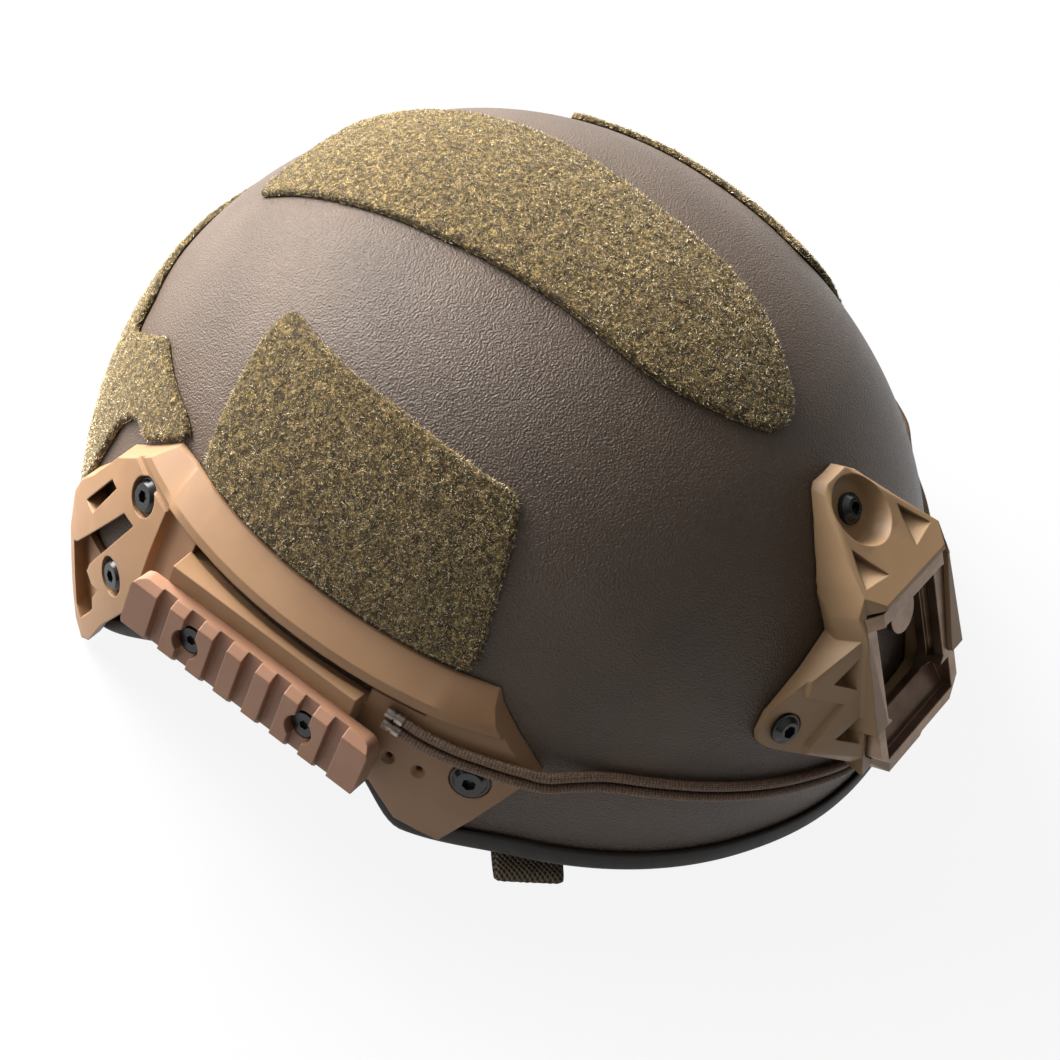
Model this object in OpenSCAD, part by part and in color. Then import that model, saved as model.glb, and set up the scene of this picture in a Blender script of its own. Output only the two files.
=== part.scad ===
// Combat helmet with side rails, front shroud, liner and retention.
// Lengths are in millimetres. The helmet is drawn level, as worn, around the centre of its
// widest line, and is then tilted and lifted so that it stands on its brow and nape.
// +X is the wearer's left, -Y the front.

/* [Shell] */
// Half of the shell's outer width
half_w = 120; // [114:1:126]
// Reach of the shell in front of the widest line
front_r = 140; // [134:1:146]
// Reach of the shell behind the widest line
rear_r = 129; // [124:1:136]
// Height of the crown above the widest line
crown_h = 139.5; // [132:0.5:146]
// Wall of the shell
wall = 8; // [6:0.5:9]
// Roundness of the shell seen from above, 2 is an ellipse
plan_e = 2.085; // [2:0.005:2.3]
// Roundness of the shell seen from the side, 2 is an ellipse
dome_e = 2.2; // [2:0.05:2.4]
// Height of the rim at the brow above the widest line
brow_z = 21; // [17:1:24]
// Height of the rim over the ear above the widest line
ear_z = 32; // [28:0.5:33]
// Depth of the rim at the nape below the widest line
nape_z = 26; // [20:1:30]
// Reach of the rubber trim up the wall
trim_h = 6; // [4:0.5:8]
// Thickness of the rubber trim
trim_t = 1.6; // [1:0.1:2]

/* [Side rails] */
// Height of the rails' upper edge above the widest line
rail_top = 73.5; // [72:0.5:75]
// Stand-off of the rails' outer face from the shell
rail_t = 7; // [6:0.5:8]
// Thickness of the front plate of the rails
plate_t = 5; // [4:0.5:6]
// Width of the long channel
channel_w = 2.6; // [2:0.2:4]
// Diameter of the black screws' heads
head_d = 11; // [9:0.5:12]
// Diameter of the screws' shanks
shank_d = 5; // [4:0.5:6]

/* [Accessory rails] */
// Pitch of the slots
pitch = 10; // [9.5:0.1:10.5]
// Width of a slot
slot_w = 4.8; // [4.4:0.1:5.4]
// Number of slots
slots = 7; // [5:1:7]
// Width over the sides
acc_w = 19.6; // [18:0.2:21.2]
// Height from the back to the top of the lands
acc_t = 6.4; // [5.5:0.1:7]
// Length of each end cap
cap_l = 9; // [7:0.5:10]

/* [Shroud] */
// Half of the metal insert's width
ins_half = 22; // [20:0.5:24]
// Top of the metal insert above the shroud's centre
ins_top = 23; // [21:0.5:25]
// Foot of the metal insert below the shroud's centre
ins_foot = 34; // [31:0.5:36]
// Half of the window's width
win_half = 16; // [14:0.5:17]
// Stand-off of the insert's front face from the shroud's centre plane
ins_front = 14; // [12:0.5:16]
// Height of the shroud's screws' seats over the shell
seat_h = 3; // [2.4:0.2:3.4]
// Diameter of the shroud's screws' heads
shroud_head_d = 9; // [8:0.5:10]

/* [Soft goods] */
// Thickness of the hook-and-loop patches
loop_t = 2; // [1.5:0.1:3]
// Half of the crown strip's width
strip_half = 26.5; // [22:0.5:30]
// Diameter of the elastic cords
cord_d = 2.8; // [2:0.1:3]
// Thickness of the impact liner
liner_t = 12; // [9:1:14]
// Thickness of the comfort pads
pad_t = 14; // [10:1:18]
// Width of the webbing
web_w = 20; // [16:1:25]
// Thickness of the webbing
web_t = 1.6; // [1.2:0.1:2]

/* [Hidden] */
$fn = 40;
clear = 0.3;
columns = 80;

// The dome: a point is on it where the plan share and the height share add up to one
function reach(y, h) = (y < 0 ? front_r : rear_r) + h;
function share(z, h) = pow(1 - pow(max(z, 0) / (crown_h + h), dome_e), 1 / dome_e);
function side_x(y, z, h) =
    (half_w + h) * pow(pow(share(z, h), plan_e) - pow(abs(y) / reach(y, h), plan_e), 1 / plan_e);
function front_y(x, z, h) =
    -(front_r + h) * pow(pow(share(z, h), plan_e) - pow(abs(x) / (half_w + h), plan_e), 1 / plan_e);
function rear_y(x, z, h) =
    (rear_r + h) * pow(pow(share(z, h), plan_e) - pow(abs(x) / (half_w + h), plan_e), 1 / plan_e);
function plan_r(az, h) = let(x = sin(az), y = -cos(az))
    1 / pow(pow(abs(x) / (half_w + h), plan_e) + pow(abs(y) / reach(y, h), plan_e), 1 / plan_e);
function dome_pt(az, z, h) = let(r = plan_r(az, h) * share(z, h)) [r * sin(az), -r * cos(az), z];
function top_z(x, y, h) = (crown_h + h) * pow(1 - pow(pow(abs(x) / (half_w + h), plan_e)
    + pow(abs(y) / reach(y, h), plan_e), dome_e / plan_e), 1 / dome_e);
function side_pt(y, z, h) = [side_x(y, z, h), y, z];
function top_pt(x, y, h) = [x, y, top_z(x, y, h)];
function unit(v) = v / norm(v);
// The outward normal, from three points of the dome near p
function normal_at(p) = let(x = p.x, y = p.y, r = pow(pow(abs(x) / half_w, plan_e)
    + pow(abs(y) / reach(y, 0), plan_e), 1 / plan_e))
    unit([sign(x) * pow(r, dome_e - plan_e) * pow(abs(x) / half_w, plan_e - 1) / half_w,
        sign(y) * pow(r, dome_e - plan_e) * pow(abs(y) / reach(y, 0), plan_e - 1) / reach(y, 0),
        pow(max(p.z, 0) / crown_h, dome_e - 1) / crown_h]);

// The rim: a low brow, a high cut over the ear and a deep nape
function ease(a, b, t) = let(u = min(1, max(0, (t - a) / (b - a)))) u * u * (3 - 2 * u);
function fold(az) = az > 180 ? 360 - az : az;
function rim_z(az) = let(a = fold(az)) brow_z - 2 + 3 * ease(0, 22, a) - 5 * ease(50, 66, a)
    + (ear_z - brow_z + 4) * ease(65, 74, a) - (ear_z + nape_z - 6) * ease(96, 131, a)
    - 6 * ease(130, 165, a);

// How the level helmet is tilted to stand on brow and nape
brow_foot = [0, -(front_r + trim_t - 0.8), rim_z(0) - trim_t];
function foot_angle(az) = let(p = dome_pt(az, rim_z(az) - trim_t, 0.8 - wall - trim_t))
    atan2(brow_foot.z - p.z, p.y - brow_foot.y);
tilt = max([for (az = [120 : 1.5 : 180]) foot_angle(az)]) + 0.05;
lift = 0.05 - (brow_foot.z * cos(tilt) + brow_foot.y * sin(tilt));

// The shroud's own axes: u across, v up along its leaning plane, w outward
lean = 30;
shroud_z = 77;
shroud_y = front_y(0, shroud_z, 0);
ins_face = ins_front - 2.5;
front_most = (shroud_y - ins_face * cos(lean) - ins_foot * sin(lean)) * cos(tilt)
    - (shroud_z + ins_face * sin(lean) - ins_foot * cos(lean)) * sin(tilt);
rear_most = (rear_r + trim_t + 0.2) * cos(tilt) - rim_z(180) * sin(tilt);
shift = -(front_most + rear_most) / 2;

function placed(p) = [p.x, shift + p.y * cos(tilt) - p.z * sin(tilt),
    lift + p.y * sin(tilt) + p.z * cos(tilt)];
module stand() translate([0, shift, lift]) rotate([tilt, 0, 0]) children();
module both() { children(); mirror([1, 0, 0]) children(); }
module at_side(y, z, h) {
    p = side_pt(y, z, 0);
    n = normal_at(p);
    translate(p + h * n) rotate([0, acos(n.z), atan2(n.y, n.x)]) children();
}
module in_shroud() translate([0, shroud_y, shroud_z]) rotate([90 - lean, 0, 0]) children();

// A closed solid between two grids of points, the first one outside
module slab(outer, inner) {
    n = len(outer);
    m = len(outer[0]);
    k = n * m;
    flat = [for (g = [outer, inner]) for (row = g) for (p = row) p];
    quads = concat(
        [for (i = [0 : n - 2]) for (j = [0 : m - 2])
            [i * m + j, i * m + j + 1, (i + 1) * m + j + 1, (i + 1) * m + j]],
        [for (i = [0 : n - 2]) for (j = [0 : m - 2])
            [k + (i + 1) * m + j, k + (i + 1) * m + j + 1, k + i * m + j + 1, k + i * m + j]],
        [for (i = [0 : n - 2]) [i * m, (i + 1) * m, k + (i + 1) * m, k + i * m]],
        [for (i = [0 : n - 2])
            [(i + 1) * m + m - 1, i * m + m - 1, k + i * m + m - 1, k + (i + 1) * m + m - 1]],
        [for (j = [0 : m - 2]) [j + 1, j, k + j, k + j + 1]],
        [for (j = [0 : m - 2])
            [(n - 1) * m + j, (n - 1) * m + j + 1, k + (n - 1) * m + j + 1, k + (n - 1) * m + j]]);
    polyhedron(flat, [for (q = quads) for (t = [[q[0], q[1], q[2]], [q[0], q[2], q[3]]]) t]);
}

// A closed solid along equal flat sections
module loft(sections, closed = false) {
    n = len(sections);
    m = len(sections[0]);
    last = closed ? n - 1 : n - 2;
    tris = [for (i = [0 : last]) for (j = [0 : m - 1])
        let(a = i * m + j, b = i * m + (j + 1) % m, c = ((i + 1) % n) * m + (j + 1) % m,
            d = ((i + 1) % n) * m + j)
        for (t = [[a, b, c], [a, c, d]]) t];
    ends = closed ? [] : [[for (j = [m - 1 : -1 : 0]) j], [for (j = [0 : m - 1]) (n - 1) * m + j]];
    polyhedron([for (s = sections) for (p = s) p], concat(tris, ends));
}

// A dome between two offsets of the shell, open below, its rim raised by lift_rim
module cup(h_out, h_in, lift_rim, cols, rows) {
    function ring(i, j, h) = let(az = 360 * i / cols, z0 = rim_z(az) + lift_rim,
        t = j == 0 ? 0 : j == 1 ? 0.06 : 0.06 + 0.94 * pow(sin(90 * (j - 1) / (rows - 1)), 2 / dome_e))
        dome_pt(az, z0 + (crown_h + h - z0) * t, h);
    n = cols * rows;
    pts = concat([for (j = [0 : rows - 1]) for (i = [0 : cols - 1]) ring(i, j, h_out)],
        [for (j = [0 : rows - 1]) for (i = [0 : cols - 1]) ring(i, j, h_in)],
        [[0, 0, crown_h + h_out], [0, 0, crown_h + h_in]]);
    outer = [for (j = [0 : rows - 2]) for (i = [0 : cols - 1]) let(k = (i + 1) % cols)
        for (t = [[j * cols + i, (j + 1) * cols + i, (j + 1) * cols + k],
            [j * cols + i, (j + 1) * cols + k, j * cols + k]]) t];
    top = [for (i = [0 : cols - 1]) [(rows - 1) * cols + i, 2 * n, (rows - 1) * cols + (i + 1) % cols]];
    edge = [for (i = [0 : cols - 1]) let(k = (i + 1) % cols)
        for (t = [[i, k, n + k], [i, n + k, n + i]]) t];
    function turn(t, d) = [t[0] + d, t[2] + d, t[1] + d];
    polyhedron(pts, concat(outer, top, edge, [for (t = outer) turn(t, n)],
        [for (i = [0 : cols - 1]) [n + (rows - 1) * cols + i, n + (rows - 1) * cols + (i + 1) % cols,
            2 * n + 1]]));
}

// The screws' places: [y, z] on the side, the shroud's [x, z] on the front
rail_bolts = [[-63, 47], [55, 55.5], [57, 24]];
shroud_bolts = [[0, 106.7], [-41.5, 67], [41.5, 67]];

module shell() color("#4a3b31") stand() difference() {
    cup(0, -wall, 0, columns, 11);
    both() for (b = rail_bolts) at_side(b[0], b[1], -wall - 3) cylinder(d = shank_d + 0.4, h = wall + 6);
    for (b = shroud_bolts) at_shroud_bolt(b) translate([0, 0, -wall - 3])
        cylinder(d = shank_d + 0.4, h = wall + 6);
}

module edge_trim() color("#1d1b1a") stand() loft([for (i = [0 : columns - 1])
    let(az = 360 - 360 * i / columns, z = rim_z(az))
    [dome_pt(az, z + trim_h, clear), dome_pt(az, z + trim_h, trim_t), dome_pt(az, z, trim_t + 0.2),
        dome_pt(az, z - trim_t, trim_t - 0.8), dome_pt(az, z - trim_t, 0.8 - wall - trim_t),
        dome_pt(az, z, -wall - trim_t - 0.2), dome_pt(az, z + trim_h, -wall - trim_t),
        dome_pt(az, z + trim_h, -wall - clear), dome_pt(az, z - clear, -wall - clear),
        dome_pt(az, z - clear, clear)]], closed = true);

// The room that the trim takes behind the rails
module trim_room() loft([for (i = [0 : columns - 1])
    let(az = 360 - 360 * i / columns, z = rim_z(az), h = trim_t + 0.2 + clear)
    [dome_pt(az, z + trim_h + clear, -1), dome_pt(az, z + trim_h + clear, h), dome_pt(az, z - 8, h),
        dome_pt(az, z - 8, -1)]], closed = true);

// The side rail, drawn on the wearer's left and mirrored for the right.
// Its face is a profile over the height, which changes from station to station.
bar_front = -30.5;
bar_back = 33.5;
block_y = 47;
ridge_z = rail_top - 11.3;
lip_z = ridge_z + channel_w;
crease_z = rail_top - 6;
bar_foot = ear_z + 1.5;
function zone(y, a, b, c, d) = y < bar_front ? a : y < bar_back ? b : y < block_y ? c : d;
function rail_face(y) = let(low = zone(y, plate_t, rail_t + 7, 3.5, rail_t - 0.5),
    front = y < -52 ? max(0, min(1, (y + 80) / 28)) : 1,
    chan = y > -47 && y < 41 ? 2.6 : min(low, rail_t - 1.5),
    band = y < block_y ? rail_t : rail_t - 0.5)
    [[-24, low - 0.5], [-8, low], [8, low], [20, y < bar_front ? 3 : low], [bar_foot + 2.5, low],
        [48, low], [ridge_z, low], [ridge_z + 0.1, chan], [lip_z - 0.1, chan],
        [lip_z, plate_t + (band - plate_t) * front], [crease_z, plate_t - 1 + (band + 1 - plate_t) * front],
        [rail_top + 0.5, 1]];
rail_ys = [-84, -79, -74, -69, -64, -58, -52, -47.2, -46.8, -42, -36, bar_front - 0.4, bar_front,
    -24, -16, -8, 0, 8, 16, 24, bar_back - 0.4, bar_back, 38, 41.2, block_y - 1, block_y,
    51, 55, 60, 65, 70, 75, 80, 85, 89, 93, 96];
rail_outline = [[-78, 54], [-63.5, 20.5], [-50.5, 22.5], [-41, bar_foot], [40, bar_foot], [45, 30],
    [54, 12.5], [59, 3], [65, -13], [70, -19], [76, -17], [90, 6], [92, 19], [89.5, 27], [82.5, 38],
    [74, 54], [56, rail_top - 1], [48, rail_top], [-59, rail_top], [-61, rail_top - 3], [-72, 60]];

module side_prism(outline, x0, x1) translate([x0, 0, 0]) rotate([90, 0, 90])
    linear_extrude(x1 - x0) polygon(outline);

module rail_body() intersection() {
    loft([for (y = rail_ys) let(f = rail_face(y))
        concat([for (q = f) side_pt(y, q[0], q[1])],
            [for (i = [len(f) - 1 : -1 : 0]) side_pt(y, f[i][0], 0.4)])]);
    side_prism(rail_outline, 60, 140);
}

// The flat on which the accessory rail sits
acc_mid = [rail_t + side_x(-1, 46, 0) + 0.6, -1, 46];
acc_lean = 10.7;
acc_yaw = 2.3;
module at_accessory() translate(acc_mid) rotate([0, 0, -acc_yaw]) rotate([0, 90 - acc_lean, 0])
    rotate([0, 0, 90]) children();

slot_upper = [[82.5, 28], [72.5, 48], [69, 48.5], [77, 29.5]];
slot_lower = [[62, 47], [56.5, 48], [66.5, 26], [71.5, 15], [82.5, 10]];
recess_c = [[71.5, 15], [72.5, 10.5], [68, 10], [64, 12.5], [66.5, 6], [65.5, 2], [68, -4], [72, -12],
    [76, -10.5], [85, 7], [82.5, 10]];
recess_v = [[49, 63.5], [46.5, 55.5], [41, 50], [35.5, 56], [37.5, 61]];

module rail() difference() {
    rail_body();
    trim_room();
    at_accessory() translate([-60, -60, 0]) cube([120, 120, 30]);
    side_prism(slot_upper, 60, 140);
    side_prism(slot_lower, 60, 140);
    difference() {
        side_prism(recess_c, 60, 140);
        recess_floor();
    }
    for (b = rail_bolts) {
        at_side(b[0], b[1], -4) cylinder(d = shank_d + 0.4, h = 20);
        at_side(b[0], b[1], plate_t - 1.2) cylinder(d = head_d + 1, h = 20);
    }
    for (y = [-50.5, -42]) at_side(y, 43.5, -1) {
        cylinder(d = 1.8, h = 12);
        translate([0, 0, plate_t - 0.4]) cylinder(d1 = 1.8, d2 = 8, h = 3);
    }
    for (x = acc_screws) at_accessory() translate([x, 0, -8]) cylinder(d = 3.2, h = 12);
}
module recess_floor() slab([for (y = [60 : 5 : 95]) [for (z = [-20, -6, 8, 20]) side_pt(y, z, 2.2)]],
    [for (y = [60 : 5 : 95]) [for (z = [-20, -6, 8, 20]) side_pt(y, z, -1)]]);

module rail_left() color("#a0805f") stand() rail();
module rail_right() color("#a0805f") stand() mirror([1, 0, 0]) rail();

// The accessory rail, its length along x, its back on the xy plane
acc_len = 2 * cap_l + (slots - 1) * pitch + slot_w;
acc_screws = [for (i = [-1, 1]) i * 2 * pitch];
module accessory_rail() difference() {
    intersection() {
        rotate([90, 0, 90]) translate([0, 0, -acc_len / 2]) linear_extrude(acc_len)
            polygon([[-acc_w / 2, 0], [acc_w / 2, 0], [acc_w / 2, acc_t * 0.64], [acc_w / 2 - 2, acc_t],
                [2 - acc_w / 2, acc_t], [-acc_w / 2, acc_t * 0.64]]);
        hull() for (i = [-1, 1]) for (j = [-1, 1])
            translate([i * (acc_len / 2 - 4), j * (acc_w / 2 - 4), -1])
                cylinder(r = 4, h = acc_t + 2, $fn = 32);
    }
    for (i = [0 : slots - 1]) translate([(i - (slots - 1) / 2) * pitch - slot_w / 2, -20, acc_t - 3])
        cube([slot_w, 40, 5]);
    for (x = acc_screws) translate([x, 0, 0]) {
        translate([0, 0, -1]) cylinder(d = 3.4, h = 10);
        translate([0, 0, 1.6]) cylinder(d = 9, h = 10);
    }
}
module accessory_rail_left() color("#a5765e") stand() at_accessory() accessory_rail();
module accessory_rail_right() color("#a5765e") stand() mirror([1, 0, 0]) at_accessory() accessory_rail();
module accessory_screws() color("#151515") stand() both() at_accessory()
    for (x = acc_screws) translate([x, 0, 1.6]) difference() {
        union() {
            cylinder(d = 7.6, h = 2);
            translate([0, 0, -8]) cylinder(d = 3, h = 8);
        }
        translate([0, 0, 0.8]) cylinder(d = 3, h = 2, $fn = 6);
    }

nut_d = 12;
nut_t = 1.8;
nut_gap = 1.2;
// A washer-headed socket screw, its seat at z = 0, with its nut under the wall
module screw(grip, head_d) {
    difference() {
        union() {
            cylinder(d = head_d, h = 1.2);
            translate([0, 0, 1.2]) cylinder(d1 = head_d - 1, d2 = head_d - 3.4, h = 1.6);
            translate([0, 0, -grip - nut_gap - 1]) cylinder(d = shank_d, h = grip + nut_gap + 1);
        }
        translate([0, 0, 1]) cylinder(d = 4, h = 3, $fn = 6);
    }
    translate([0, 0, -grip - nut_gap - nut_t]) cylinder(d = nut_d, h = nut_t);
}
module rail_screws() color("#151515") stand() both()
    for (b = rail_bolts) at_side(b[0], b[1], plate_t - 1.2) screw(wall + plate_t - 1.2, head_d);

// The polymer base: a hood over the insert, two cheeks beside it and two arms, hulls of few points
module points(list) hull() for (p = list) translate(p) cube(0.2, center = true);
function mirrored(list) = concat(list, [for (p = list) [-p.x, p.y, p.z]]);
function sunk(list, w) = [for (p = list) [p.x, p.y, w]];
function walled(list, w) = concat(list, sunk(list, w));
hood_w = ins_front + 2;
hood_v = ins_top - 1.7;
cheek_u = ins_half + 2.5;
foot_u = ins_half - 4;
bar_foot_v = 16 - ins_foot;
bar_w = ins_face + clear + 1.2;
// Depth of the rebates in the insert's face, in which the cheeks' bars lie
rebate = 1.5;
module shroud_form() {
    points(mirrored(concat([[4.5, 49, -5.8], [7.5, 47, -5], [11, 41.8, -2.6], [15, 34.7, 4], [18, 29, 8.6]],
        sunk([[5.5, 49.2], [12.5, 39], [17.4, 27]], -18))));
    points(mirrored(concat([[ins_half - 6, hood_v, hood_w], [ins_half - 1.5, hood_v + 4.3, hood_w - 4],
        [11, 41.8, -2.6], [ins_half - 1.5, hood_v - 4, hood_w - 5], [ins_half - 6, hood_v - 4, hood_w]],
        sunk([[foot_u, 27], [foot_u, 15], [10, 41]], -14))));
    both() points(concat([[ins_half - 1.5, hood_v + 4.3, hood_w - 4], [cheek_u - 1.6, 14, bar_w],
        [cheek_u - 1.4, hood_v - 1, hood_w - 5],
        [ins_half + 1.3, hood_v - 2, 3], [ins_half + 1.3, 12, 2.5], [cheek_u + 0.3, bar_foot_v, 8.5],
        [cheek_u - 1, -ins_foot - 1, 5], [17, -ins_foot - 2, 4], [17, hood_v, 8]],
        sunk([[foot_u - 0.6, 27], [foot_u, 11.3], [foot_u, -ins_foot]], -8)));
    points(mirrored(concat(walled([[19, 10 - ins_foot, 2.3], [19, 1 - ins_foot, 2.3], [13.5, -ins_foot - 2, 3],
        [9.5, -ins_foot - 10, 1.5]], -12), [[12, -ins_foot - 1, 8], [9, -ins_foot - 10.5, 4.5]])));
    both() points(concat(on_ramp([[cheek_u - 1, 13], [39, 3.4], [45.5, 0.2], [38.3, -18.6], [cheek_u, -27],
        [cheek_u, -22]], 0),
        [[49, -4.8, -6.8], [49.2, -8.5, -7.2], [46.8, -12, -6.1], [ins_half - 2, -ins_foot, 1]],
        sunk([[foot_u, 11.3], [35.4, 3.1], [45, -1.8], [48.3, -6], [46, -12], [ins_half - 2, -ins_foot]], -22)));
}
// The arms' faces fall away from the cheeks
function on_ramp(list, d) = [for (p = list) [p.x, p.y, 25.8 - 0.68 * p.x + 0.095 * p.y + d]];
// The ribs of the base that hold the insert's sides from the front
module bar_outline() polygon([[cheek_u - 1.6, 14], [ins_half + 0.1, 14], [ins_half - 3.3, bar_foot_v + 1.5],
    [ins_half - 3, bar_foot_v], [cheek_u + 0.3, bar_foot_v]]);
module cheek_bar() difference() {
    translate([0, 0, 2]) linear_extrude(bar_w - 2) bar_outline();
    linear_extrude(ins_face - rebate + clear) insert_outline(clear);
}
// The same outline with room round it
module bar_room() translate([0, 0, ins_face - rebate]) linear_extrude(rebate + 1)
    polygon([[ins_half + 3, 14 + clear], [ins_half + 0.1 - clear, 14 + clear],
        [ins_half - 3.3 - clear, bar_foot_v + 1.5], [ins_half - 3.2, bar_foot_v - clear],
        [ins_half + 3, bar_foot_v - clear]]);
// A pocket from a sloping floor outward, its corners clockwise
module pocket(floor) loft([floor, [for (p = floor) [p.x, p.y, 40]]]);
// The shell with a little clearance, only where the shroud sits on it
module front_core() slab([for (x = [-66 : 11 : 66]) [for (z = [28 : 9 : 118]) [x, front_y(x, z, 0.7), z]]],
    [for (x = [-66 : 11 : 66]) [for (z = [28 : 9 : 118]) [x, front_y(x, z, 0.7) + 40, z]]]);
module insert_outline(gap)
    polygon([[-ins_half - gap, hood_v - 1.5 + gap], [ins_half + gap, hood_v - 1.5 + gap],
    [ins_half + gap, 5.5 - ins_foot - gap / 2], [ins_half - 5.5 + gap / 2, -ins_foot - gap],
    [5.5 - ins_half - gap / 2, -ins_foot - gap], [-ins_half - gap, 5.5 - ins_foot - gap / 2]]);
module shroud_base() color("#a28463") stand() difference() {
    in_shroud() {
        difference() {
            shroud_form();
            translate([0, 0, 3 - clear]) linear_extrude(ins_front) insert_outline(clear);
            translate([-ins_half - clear, -80, ins_face])
                cube([2 * ins_half + 2 * clear, 80 + hood_v - 2.6, 40]);
            translate([-win_half, 12 - ins_foot, -30]) cube([2 * win_half, ins_top + ins_foot - 19, 60]);
            both() {
                pocket([[12.4, 34.8, -3.5], [17.8, 26.8, 10.8], [7.8, 25.6, 11.8]]);
                pocket([[24.1, 7.6, 1], [31, 2.4, -1], [25, -2.5, 5]]);
                pocket([[23.9, -12.2, 0], [31.3, -17, -3], [24.9, -22, 3]]);
                pocket(on_ramp([[60, 12], [62, -20], [39, -26], [38, -16.4], [28.4, -6], [37.6, 1.2],
                    [35.5, 8]], -1));
            }
        }
        both() cheek_bar();
    }
    front_core();
    both() cord_sockets();
    for (b = shroud_bolts) at_shroud_bolt(b) translate([0, 0, -30]) cylinder(d = shank_d + 0.4, h = 60);
    at_shroud_bolt(shroud_bolts[0]) translate([0, 0, seat_h]) cylinder(r1 = 9, r2 = 12.5, h = 13);
    both() at_shroud_bolt(shroud_bolts[2]) translate([0, 0, seat_h]) cylinder(d = shroud_head_d + 1, h = 12);
}
// The bolts stand square to the shell
module at_shroud_bolt(b) {
    q = [b[0], front_y(b[0], b[1], 0), b[1]];
    n = normal_at(q);
    translate(q) rotate([0, acos(n.z), atan2(n.y, n.x)]) children();
}
module shroud_insert() color("#7d6048") stand() in_shroud() difference() {
    union() {
        translate([0, 0, 3]) linear_extrude(ins_face - 3) insert_outline(0);
        rotate([90, 0, 0]) translate([0, 0, 3.8 + clear - ins_top]) linear_extrude(4.6)
            polygon([[-ins_half, 3], [ins_half, 3], [ins_half, ins_front - 3.5], [ins_half - 5.5, ins_front + 0.8],
                [5.5 - ins_half, ins_front + 0.8], [-ins_half, ins_front - 3.5]]);
        translate([0, 7.5, ins_front - 6]) cylinder(r = 6, h = 2);
    }
    translate([0, 0, -1]) linear_extrude(60) difference() {
        polygon([[-win_half, ins_top - 8.4], [win_half, ins_top - 8.4], [win_half, 16 - ins_foot],
            [win_half - 4, 12 - ins_foot], [4 - win_half, 12 - ins_foot], [-win_half, 16 - ins_foot]]);
        translate([0, 7.5]) circle(r = 6.2);
        translate([-6.2, 7.5]) square([12.4, 20]);
    }
    translate([-6.3, 0, ins_front - 3.9]) cube([12.6, ins_top - 8.4, 10]);
    translate([-6.3, 0, -2]) cube([12.6, ins_top - 8.4, ins_front - 4]);
    rotate([90, 0, 90]) translate([0, 0, 3.5 - ins_half]) linear_extrude(2 * ins_half - 7)
        polygon([[3.2 - ins_foot, 20], [3.2 - ins_foot, ins_front - 5.5], [12 - ins_foot, 5.5], [14 - ins_foot, 8],
            [14 - ins_foot, 20]]);
    both() translate([win_half - 0.5, 14 - ins_foot, 6]) cube([2, ins_top + ins_foot - 24, 2.4]);
    both() bar_room();
}
module shroud_screws() color("#151515") stand() for (b = shroud_bolts)
    at_shroud_bolt(b) translate([0, 0, seat_h]) screw(wall + seat_h, shroud_head_d);

// A patch of loop fabric or a pad is a slab between two offsets of one grid over the dome
module sheet(grid, h_out, h_in) slab(grid(h_out), grid(h_in));
module patch(grid) color("#8a7d55") stand() sheet(grid, loop_t + clear, clear);

function crown_half(y) = strip_half * pow(max(0, 1 - pow(max(0, (-y - 34) / 41), 2.6)), 0.5);
crown_ys = concat([-74.9, -74, -72, -69, -65, -60, -54, -47, -40], [for (y = [-30 : 12 : 90]) y], [98]);
crown_grid = function(h) [for (y = crown_ys) let(w = max(3, crown_half(y)) * (y > 97 ? 0.72 : 1))
    [for (i = [4 : -1 : -4]) top_pt(i / 4 * w, y, h)]];

// The side patch stands on the rail; its top edge runs at one distance from the middle
side_edge = 72;
function patch_front(z) = -50.3 + max(0, z - 86) * 0.52;
function patch_rear(z) = 44.7 + (z - rail_top) * 0.2;
side_grid = function(h) [for (s = [0 : 12]) let(t = s / 12,
    y1 = patch_front(110) * (1 - t) + patch_rear(110) * t,
    z0 = rail_top + 1, z1 = top_z(side_edge, y1, 0) - (s == 0 || s == 12 ? 2 : 0))
    [for (k = [0 : 6]) let(z = z0 + (z1 - z0) * k / 6)
        side_pt(patch_front(z) * (1 - t) + patch_rear(z) * t, z, h)]];

// The rear patch: a wing on the rails' plateau, a bare notch, and a tall middle
wing = [[120.5, rail_top + 0.5, 75.5], [122, 70.5, 76.5], [124, 66, 77], [126.5, 60.5, 77], [129, 59, 77],
    [131.5, 59, 77], [133, 55, 77], [134.5, 50, 77], [135.5, 36, 77], [137, 22, 77], [139, 11, 77], [141, 3, 74],
    [144, 0, 67], [149, 0, 57.5], [151, 0, 60], [153, 0, 67], [158, 0, 71], [164, 0, 74], [169, 0, 75.5],
    [174.5, 0, 76.5], [180, 0, 77]];
rear_columns = concat(wing, [for (i = [len(wing) - 2 : -1 : 0]) [360 - wing[i][0], wing[i][1], wing[i][2]]]);
rear_grid = function(h) [for (c = rear_columns)
    [for (k = [0 : 6]) dome_pt(c[0], c[1] + (c[2] - c[1]) * k / 6, h)]];

module loop_crown() patch(crown_grid);
module loop_side_left() patch(side_grid);
module loop_side_right() mirror([1, 0, 0]) patch(side_grid);
module loop_rear() patch(rear_grid);

// The elastic cords: [azimuth, height, stand-off] from the rail's lip to the shroud's tongue
cord_low = cord_d / 2 + clear;
cord_high = plate_t + cord_low;
cord_route = [[69, 59.5, cord_high], [66, 58.5, cord_high], [62, 58, cord_high], [58, 58, cord_high],
    [54, 58, cord_high], [50, 57.6, cord_high - 0.5], [46, 57.2, 3.6], [42, 56.5, cord_low],
    [36, 55.5, cord_low], [30, 53.5, cord_low], [24, 51, cord_low], [18, 48, cord_low],
    [12, 44.5, cord_low], [8, 41.5, cord_low], [4.9, 39.5, cord_low]];
cord_gap = cord_d + 0.7;
function cord_line(drop) = [for (c = cord_route)
    dome_pt(c[0], c[1] - drop, c[2])];
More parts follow.
